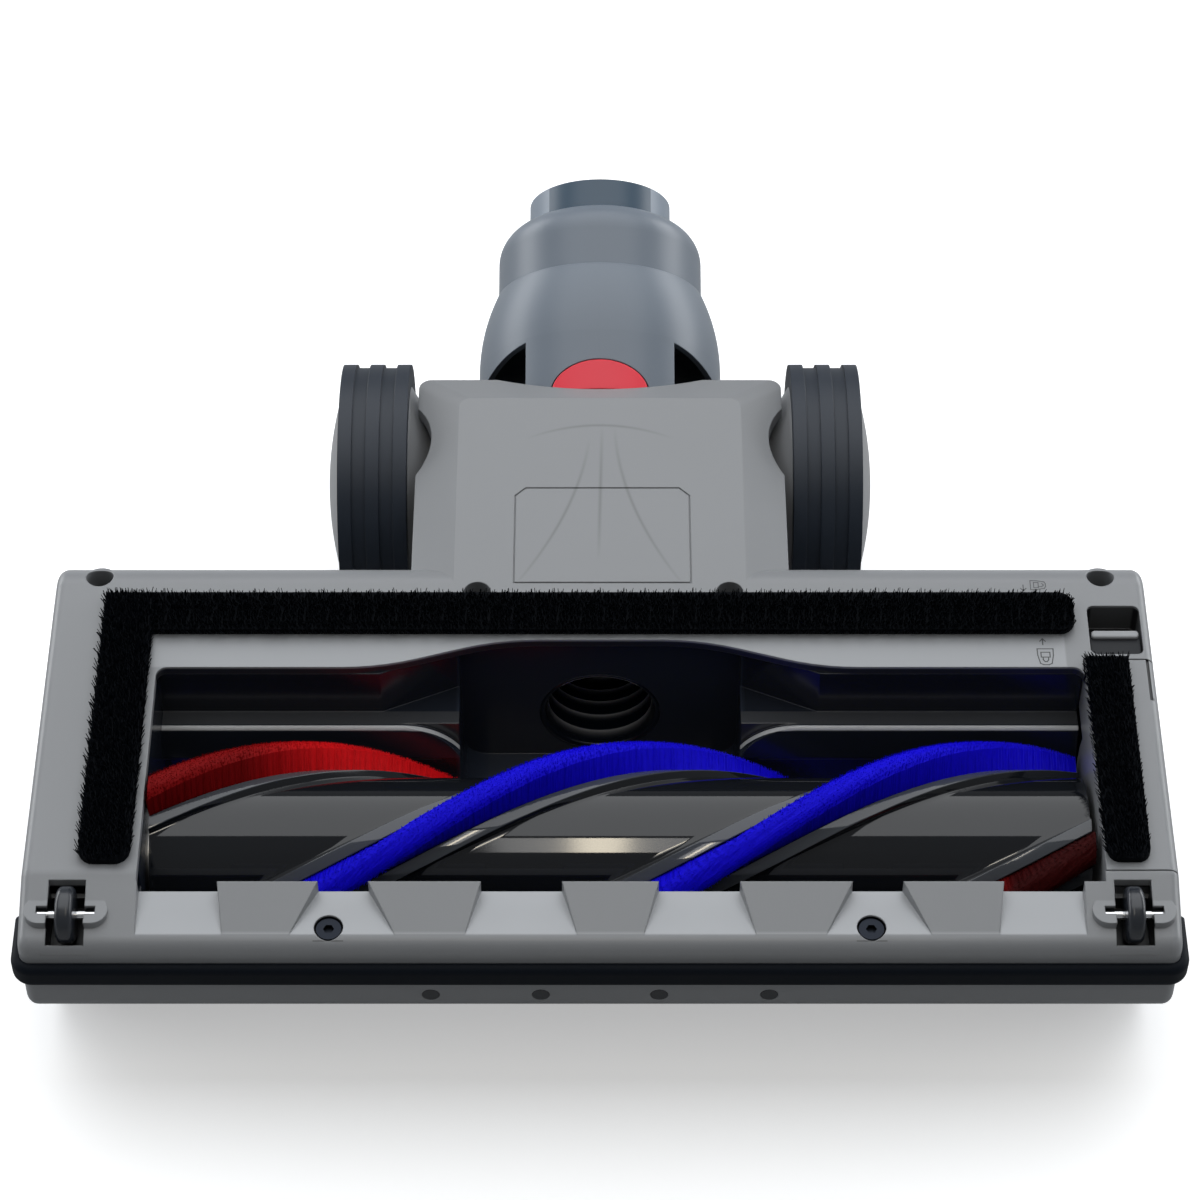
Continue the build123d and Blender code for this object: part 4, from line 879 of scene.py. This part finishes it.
    def strips(self, node, indices, slot):
        """Bristle strips that wind round the bar."""
        sizes = bpy.context.scene.floor_head_sizes
        scatter = random.Random(bpy.context.scene.floor_head_stage.seed)
        bm = bmesh.new()
        tip = bm.verts.layers.float.new("tip")
        run = self.right - self.left
        clumps = round(run / (self.COLUMNS * sizes.tuft_pitch))
        step = run / clumps
        rows = round(2 * self.STRIP_HALF / sizes.tuft_pitch) + 1
        for index in indices:
            self.bedding(bm, index)
            for vert in bm.verts:
                vert[tip] = 1
            started = set(bm.verts)
            for column in range(self.COLUMNS):
                for row in range(rows):
                    x = self.left + (column + scatter.uniform(0.1, 0.9)) * step / self.COLUMNS
                    turn = self.strip_angle(index, x)
                    out = Vector((0, math.cos(turn), math.sin(turn)))
                    side = ACROSS.cross(out)
                    offset = (row + 0.5 + scatter.uniform(-0.35, 0.35)) / rows * 2 - 1
                    root = Vector((x, BRUSH_AXIS.y, BRUSH_AXIS.z))
                    root += out * self.ROOT
                    root += side * offset * self.STRIP_HALF
                    lean = out + side * (self.SPLAY * offset + scatter.gauss(0, self.SPREAD))
                    lean += ACROSS * scatter.gauss(0, self.SPREAD_ALONG)
                    reach = self.TIP - self.ROOT - self.CROWN_DROP * abs(offset) ** 3
                    reach -= scatter.uniform(0, self.STUBBLE)
                    stand_bristle(bm, tip, root, lean.normalized(), reach, sizes.tuft_radius)
            bmesh.ops.spin(
                bm,
                geom=clump_since(bm, started),
                cent=BRUSH_AXIS,
                axis=ACROSS,
                dvec=(step, 0, 0),
                angle=self.TWIST * step * (clumps - 1),
                steps=clumps - 1,
                use_duplicate=True,
            )
        ruffle(bm, tip, self.RUFFLE, self.RUFFLE_WAVES)
        add_piece(node + "_tufts", bm, finishes()[slot], "brush_bar", [node])


class FLOORHEAD_OT_hose(Operator):
    """Make the ribbed hose from the chamber's port into the neck"""

    bl_idname = "floor_head.hose"
    bl_label = "Suction Hose"

    RADIUS = 0.0138
    # Route: straight run from the port, then the last corner and the end, measured from the tilt axis
    FIRST_RUN = 0.014
    BEND_BACK = 0.014
    END_ALONG = 0.012
    # Radii of its two bends
    FIRST_BEND = 0.06
    LAST_BEND = 0.045
    # Distances ahead of and past the tilt axis for the hose's stretch over the neck's rim
    BLEND_AHEAD = 0.0465
    BLEND_PAST = 0.004
    # Rolled mouth in the port: distance in front of the first rib, and radius
    MOUTH = ((0.0018, 0.0139), (0.0018, 0.0133), (0.0014, 0.0128), (0.0008, 0.0125), (0, 0.0127))
    # Painted highlight on the mouth: full on its upper part, half as strong elsewhere
    HIGHLIGHT_FROM = 0.75
    MOUTH_HIGHLIGHT = 0.5

    def spans(self, start):
        """Lengths of the hose's straight and bent runs from the port, each with the angle it turns."""
        corner = start + BACK * self.FIRST_RUN
        bend = TILT_POINT - NECK_DIR * self.BEND_BACK
        slope = math.atan2(bend.z - corner.z, bend.y - corner.y)
        rise = math.atan2(NECK_DIR.z, NECK_DIR.y)
        first_cut = self.FIRST_BEND * math.tan(abs(slope) / 2)
        last_cut = self.LAST_BEND * math.tan((rise - slope) / 2)
        middle = (bend - corner).length - first_cut - last_cut
        return (
            (self.FIRST_RUN - first_cut, 0),
            (self.FIRST_BEND * abs(slope), slope),
            (middle, 0),
            (self.LAST_BEND * (rise - slope), rise - slope),
            (self.BEND_BACK + self.END_ALONG - last_cut, 0),
        )

    def execute(self, context):
        sizes = context.scene.floor_head_sizes
        low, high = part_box("hose_cuff")
        start = Vector((0, low.y, (low.z + high.z) / 2))
        bm = bmesh.new()
        painted_highlight = bm.verts.layers.float.new("painted_highlight")
        first, *rest = self.MOUTH
        ring = bmesh.ops.create_circle(bm, segments=64, radius=first[1])["verts"]
        upright = Matrix.Rotation(math.radians(-90), 4, "X")
        mouth = Matrix.Translation(start - BACK * first[0])
        bmesh.ops.transform(bm, matrix=mouth @ upright, verts=ring)
        edges = list(bm.edges)
        for ahead, radius in rest:
            ring, edges = self.extend(bm, edges)
            for vert in ring:
                spoke = Vector((vert.co.x, 0, vert.co.z - start.z))
                vert.co = start - BACK * ahead + spoke.normalized() * radius
                vert[painted_highlight] = 1 if spoke.z > self.HIGHLIGHT_FROM * radius else self.MOUTH_HIGHLIGHT
        place = start.copy()
        heading = 0.0
        crest = False
        for reach, turn in self.spans(start):
            steps = max(1, round(2 * reach / sizes.hose_rib_pitch))
            for _ in range(steps):
                ring, edges = self.extend(bm, edges)
                heading += turn / steps
                stride = Vector((0, math.cos(heading), math.sin(heading))) * reach / steps
                bmesh.ops.translate(bm, vec=stride, verts=ring)
                place += stride
                tilt = Matrix.Rotation(turn / steps, 3, "X")
                bmesh.ops.rotate(bm, cent=place, matrix=tilt, verts=ring)
                # Rings that stand inwards carry the painted highlight, the crests none
                size = self.RADIUS - (0 if crest else sizes.hose_rib_depth)
                for vert in ring:
                    vert.co = place + (vert.co - place).normalized() * size
                    vert[painted_highlight] = 0 if crest else 1
                crest = not crest
        join_seams(bm)
        finish = finishes()["hose_rubber"]
        piece = add_piece("suction_hose_skin", bm, finish, None, ["suction_hose"])
        skin = piece.modifiers.new("Wall", "SOLIDIFY")
        skin.thickness = sizes.hose_wall
        skin.offset = -1
        smooth(piece, 180)
        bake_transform(piece)
        return {"FINISHED"}

    def extend(self, bm, edges):
        """Next ring of the hose, still in the place of the last."""
        made = bmesh.ops.extrude_edge_only(bm, edges=edges)["geom"]
        ring = [item for item in made if isinstance(item, bmesh.types.BMVert)]
        return ring, [item for item in made if isinstance(item, bmesh.types.BMEdge)]


class FLOORHEAD_OT_signs(Operator):
    """Draw the lock and unlock signs beside the latch"""

    bl_idname = "floor_head.signs"
    bl_label = "Signs"

    # Outlines in millimetres
    SHIELD = (
        (-1.8, 2.3), (1.8, 2.3), (1.75, 0.4), (1.3, -1.9),
        (0.6, -2.3), (-0.6, -2.3), (-1.3, -1.9), (-1.75, 0.4),
    )
    LOCK = ((-1, 1.3), (1, 1.3), (1, -0.1), (-1, -0.1))
    SHUT = ((-0.6, -0.1), (-0.6, -0.9), (-0.2, -1.4), (0.2, -1.4), (0.6, -0.9), (0.6, -0.1))
    OPEN = ((-0.6, -0.1), (-0.6, -1.1), (-0.2, -1.6), (0.2, -1.6), (0.6, -1.2))
    SHAFT = ((0, -0.8), (0, 0.9))
    BARB = ((-0.6, 0.2), (0, 0.9), (0.6, 0.2))
    # Height above the sole, and half the width of a line, in metres
    LIFT = 0.00002
    HALF_LINE = 0.00013
    UNLOCK_SCALE = 0.75

    def execute(self, context):
        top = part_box("lower_housing")[1].z + self.LIFT
        bm = bmesh.new()
        lock = self.place(0.1002, 0.0375, top, 0)
        lock_arrow = self.place(0.0998, 0.0418, top, 0)
        unlock = self.place(0.1, 0.0586, top, 90) @ Matrix.Scale(self.UNLOCK_SCALE, 4)
        unlock_arrow = self.place(0.0966, 0.0578, top, 180)
        for place, shackle in ((lock, self.SHUT), (unlock, self.OPEN)):
            self.stroke(bm, place, self.SHIELD, closed=True)
            self.stroke(bm, place, self.LOCK, closed=True)
            self.stroke(bm, place, shackle)
        for place in (lock_arrow, unlock_arrow):
            self.stroke(bm, place, self.SHAFT)
            self.stroke(bm, place, self.BARB)
        grey = shaded(context.scene.floor_head_colours.sole, 0.3)
        finish = moulded("Sign Grey", grey, (0.4, 0.5), edge=0)
        add_piece("latch_signs", bm, finish, "head")
        return {"FINISHED"}

    def place(self, x, y, z, degrees):
        """Where a sign lies, and how far it is turned."""
        return Matrix.Translation((x, y, z)) @ Matrix.Rotation(math.radians(degrees), 4, "Z")

    def stroke(self, bm, place, points, closed=False):
        """Thin flat line through points that are given in millimetres."""
        half = self.HALF_LINE
        spots = [Vector((x, y, 0)) / 1000 for x, y in points]
        if closed:
            spots.append(spots[0])
        for start, end in zip(spots, spots[1:]):
            run = end - start
            turn = Matrix.Rotation(math.atan2(run.y, run.x), 4, "Z")
            shape = Matrix.Diagonal((run.length / 2 + half, half, 1, 1))
            matrix = place @ Matrix.Translation((start + end) / 2) @ turn @ shape
            bmesh.ops.create_grid(bm, x_segments=1, y_segments=1, size=1, matrix=matrix)


class FLOORHEAD_OT_solids(Operator):
    """Give each solid of the frame its finish"""

    bl_idname = "floor_head.solids"
    bl_label = "Solids"

    def execute(self, context):
        made = finishes()
        for row in frame["record"]["subparts"]:
            mesh = frame["nodes"][row["node"]].data
            mesh.materials.clear()
            mesh.materials.append(made[row["material_slot"]])
        black = shaded(context.scene.floor_head_colours.black, 1.6)
        latch = frame["nodes"]["end_cap_latch"].data
        latch.materials.clear()
        latch.materials.append(latch_black("Latch Black", black))
        return {"FINISHED"}


class FLOORHEAD_OT_stage(Operator):
    """Set up the pale floor, the studio light and the camera"""

    bl_idname = "floor_head.stage"
    bl_label = "Stage"

    FLOOR_HALF = 6
    FLOOR_DROP = 0.0005

    def execute(self, context):
        stage = context.scene.floor_head_stage
        self.floor()
        self.lights()
        world = bpy.data.worlds.new("Studio")
        world.use_nodes = True
        world.node_tree.nodes["Background"].inputs["Color"].default_value = (0.95, 0.975, 1, 1)
        world.node_tree.nodes["Background"].inputs["Strength"].default_value = stage.sky
        context.scene.world = world
        lens = bpy.data.cameras.new("Camera")
        lens.lens = stage.lens
        lens.sensor_width = 36
        lens.clip_start = 0.01
        camera = bpy.data.objects.new("Camera", lens)
        camera.location = stage.camera_place
        camera.rotation_euler = (math.radians(90) - stage.camera_pitch, 0, 0)
        context.scene.collection.objects.link(camera)
        context.scene.camera = camera
        context.scene.view_settings.view_transform = "Standard"
        return {"FINISHED"}

    def floor(self):
        """Wide pale floor under the head."""
        bm = bmesh.new()
        bmesh.ops.create_grid(bm, x_segments=1, y_segments=1, size=self.FLOOR_HALF)
        mesh = bpy.data.meshes.new("floor")
        bm.to_mesh(mesh)
        bm.free()
        mesh.materials.append(self.pale_floor())
        floor = bpy.data.objects.new("floor", mesh)
        bpy.context.scene.collection.objects.link(floor)
        floor.location.z = -self.FLOOR_DROP

    def pale_floor(self):
        """Pale floor that glows a little, so that shadows stay light, and throws back less light."""
        tone, returned, glow = (0.92, 0.925, 0.93), (0.38, 0.385, 0.39), 0.4
        finish = moulded("Pale Floor", tone, (0.7, 0.8), grain=0, depth=0.01, cloud=2, edge=0)
        tree = finish.node_tree
        shader = tree.nodes["Principled BSDF"]
        seen = tree.nodes.new("ShaderNodeLightPath").outputs["Is Camera Ray"]
        pale = shader.inputs["Base Color"].links[0].from_socket
        tree.links.new(mix_colour(tree, seen, returned, pale), shader.inputs["Base Color"])
        shader.inputs["Emission Color"].default_value = (1, 1, 1, 1)
        tree.links.new(math_node(tree, "MULTIPLY", seen, glow), shader.inputs["Emission Strength"])
        return finish

    def lights(self):
        """A wide softbox overhead, lamps over the front and a softbox on each side."""
        # Name, place, aim, width, height, colour and power
        boxes = (
            ("Overhead Softbox", (0, 1.26, 1.5), (0, 1.26, 0), 2.4, 2.94, (0.96, 0.98, 1), 42),
            ("Front Lamp", (0, -0.6, 1.5), (0, -0.3, 0), 0.14, 0.6, (1, 1, 1), 0.9),
            ("Warm Tube", (0, -0.6, 1.49), (0, -0.3, 0), 0.035, 0.6, (1, 0.88, 0.66), 1.0),
            ("Left Softbox", (-1.3, 0.8, 0.25), (0, 0.13, 0.06), 1.8, 0.7, (0.97, 0.985, 1), 15),
            ("Right Softbox", (1.3, 0.8, 0.25), (0, 0.13, 0.06), 1.8, 0.7, (0.97, 0.985, 1), 15),
        )
        for name, place, aim, wide, high, tint, power in boxes:
            lamp = bpy.data.lights.new(name, "AREA")
            lamp.shape = "RECTANGLE"
            lamp.size = wide
            lamp.size_y = high
            lamp.color = tint
            lamp.energy = power
            light = bpy.data.objects.new(name, lamp)
            light.location = place
            light.rotation_euler = (Vector(aim) - Vector(place)).to_track_quat("-Z", "Y").to_euler()
            bpy.context.scene.collection.objects.link(light)


class FLOORHEAD_PT_panel(Panel):
    """Lists the steps and settings of the floor head"""

    bl_label = "Floor Head"
    bl_idname = "FLOORHEAD_PT_panel"
    bl_space_type = "VIEW_3D"
    bl_region_type = "UI"
    bl_category = "Floor Head"

    def draw(self, context):
        for step in STEPS:
            self.layout.operator(step.bl_idname)
        for settings in (context.scene.floor_head_sizes, context.scene.floor_head_colours):
            for name in settings.bl_rna.properties.keys()[2:]:
                self.layout.prop(settings, name)


GROUPS = (FloorHeadSizes, FloorHeadColours, FloorHeadStage)
STEPS = (
    FLOORHEAD_OT_solids,
    FLOORHEAD_OT_felts,
    FLOORHEAD_OT_brush,
    FLOORHEAD_OT_hose,
    FLOORHEAD_OT_signs,
    FLOORHEAD_OT_stage,
)


def register():
    """Registers the classes and hangs the settings on the scene."""
    for group in GROUPS:
        bpy.utils.register_class(group)
    for step in STEPS:
        bpy.utils.register_class(step)
    bpy.utils.register_class(FLOORHEAD_PT_panel)
    bpy.types.Scene.floor_head_sizes = PointerProperty(type=FloorHeadSizes)
    bpy.types.Scene.floor_head_colours = PointerProperty(type=FloorHeadColours)
    bpy.types.Scene.floor_head_stage = PointerProperty(type=FloorHeadStage)


def unregister():
    """Takes the settings and classes away again."""
    del bpy.types.Scene.floor_head_stage
    del bpy.types.Scene.floor_head_colours
    del bpy.types.Scene.floor_head_sizes
    bpy.utils.unregister_class(FLOORHEAD_PT_panel)
    for step in reversed(STEPS):
        bpy.utils.unregister_class(step)
    for group in reversed(GROUPS):
        bpy.utils.unregister_class(group)


def main():
    """Builds every piece."""
    register()
    bpy.ops.floor_head.solids()
    bpy.ops.floor_head.felts()
    bpy.ops.floor_head.brush()
    bpy.ops.floor_head.hose()
    bpy.ops.floor_head.signs()
    bpy.ops.floor_head.stage()


if __name__ == "__main__":
    main()
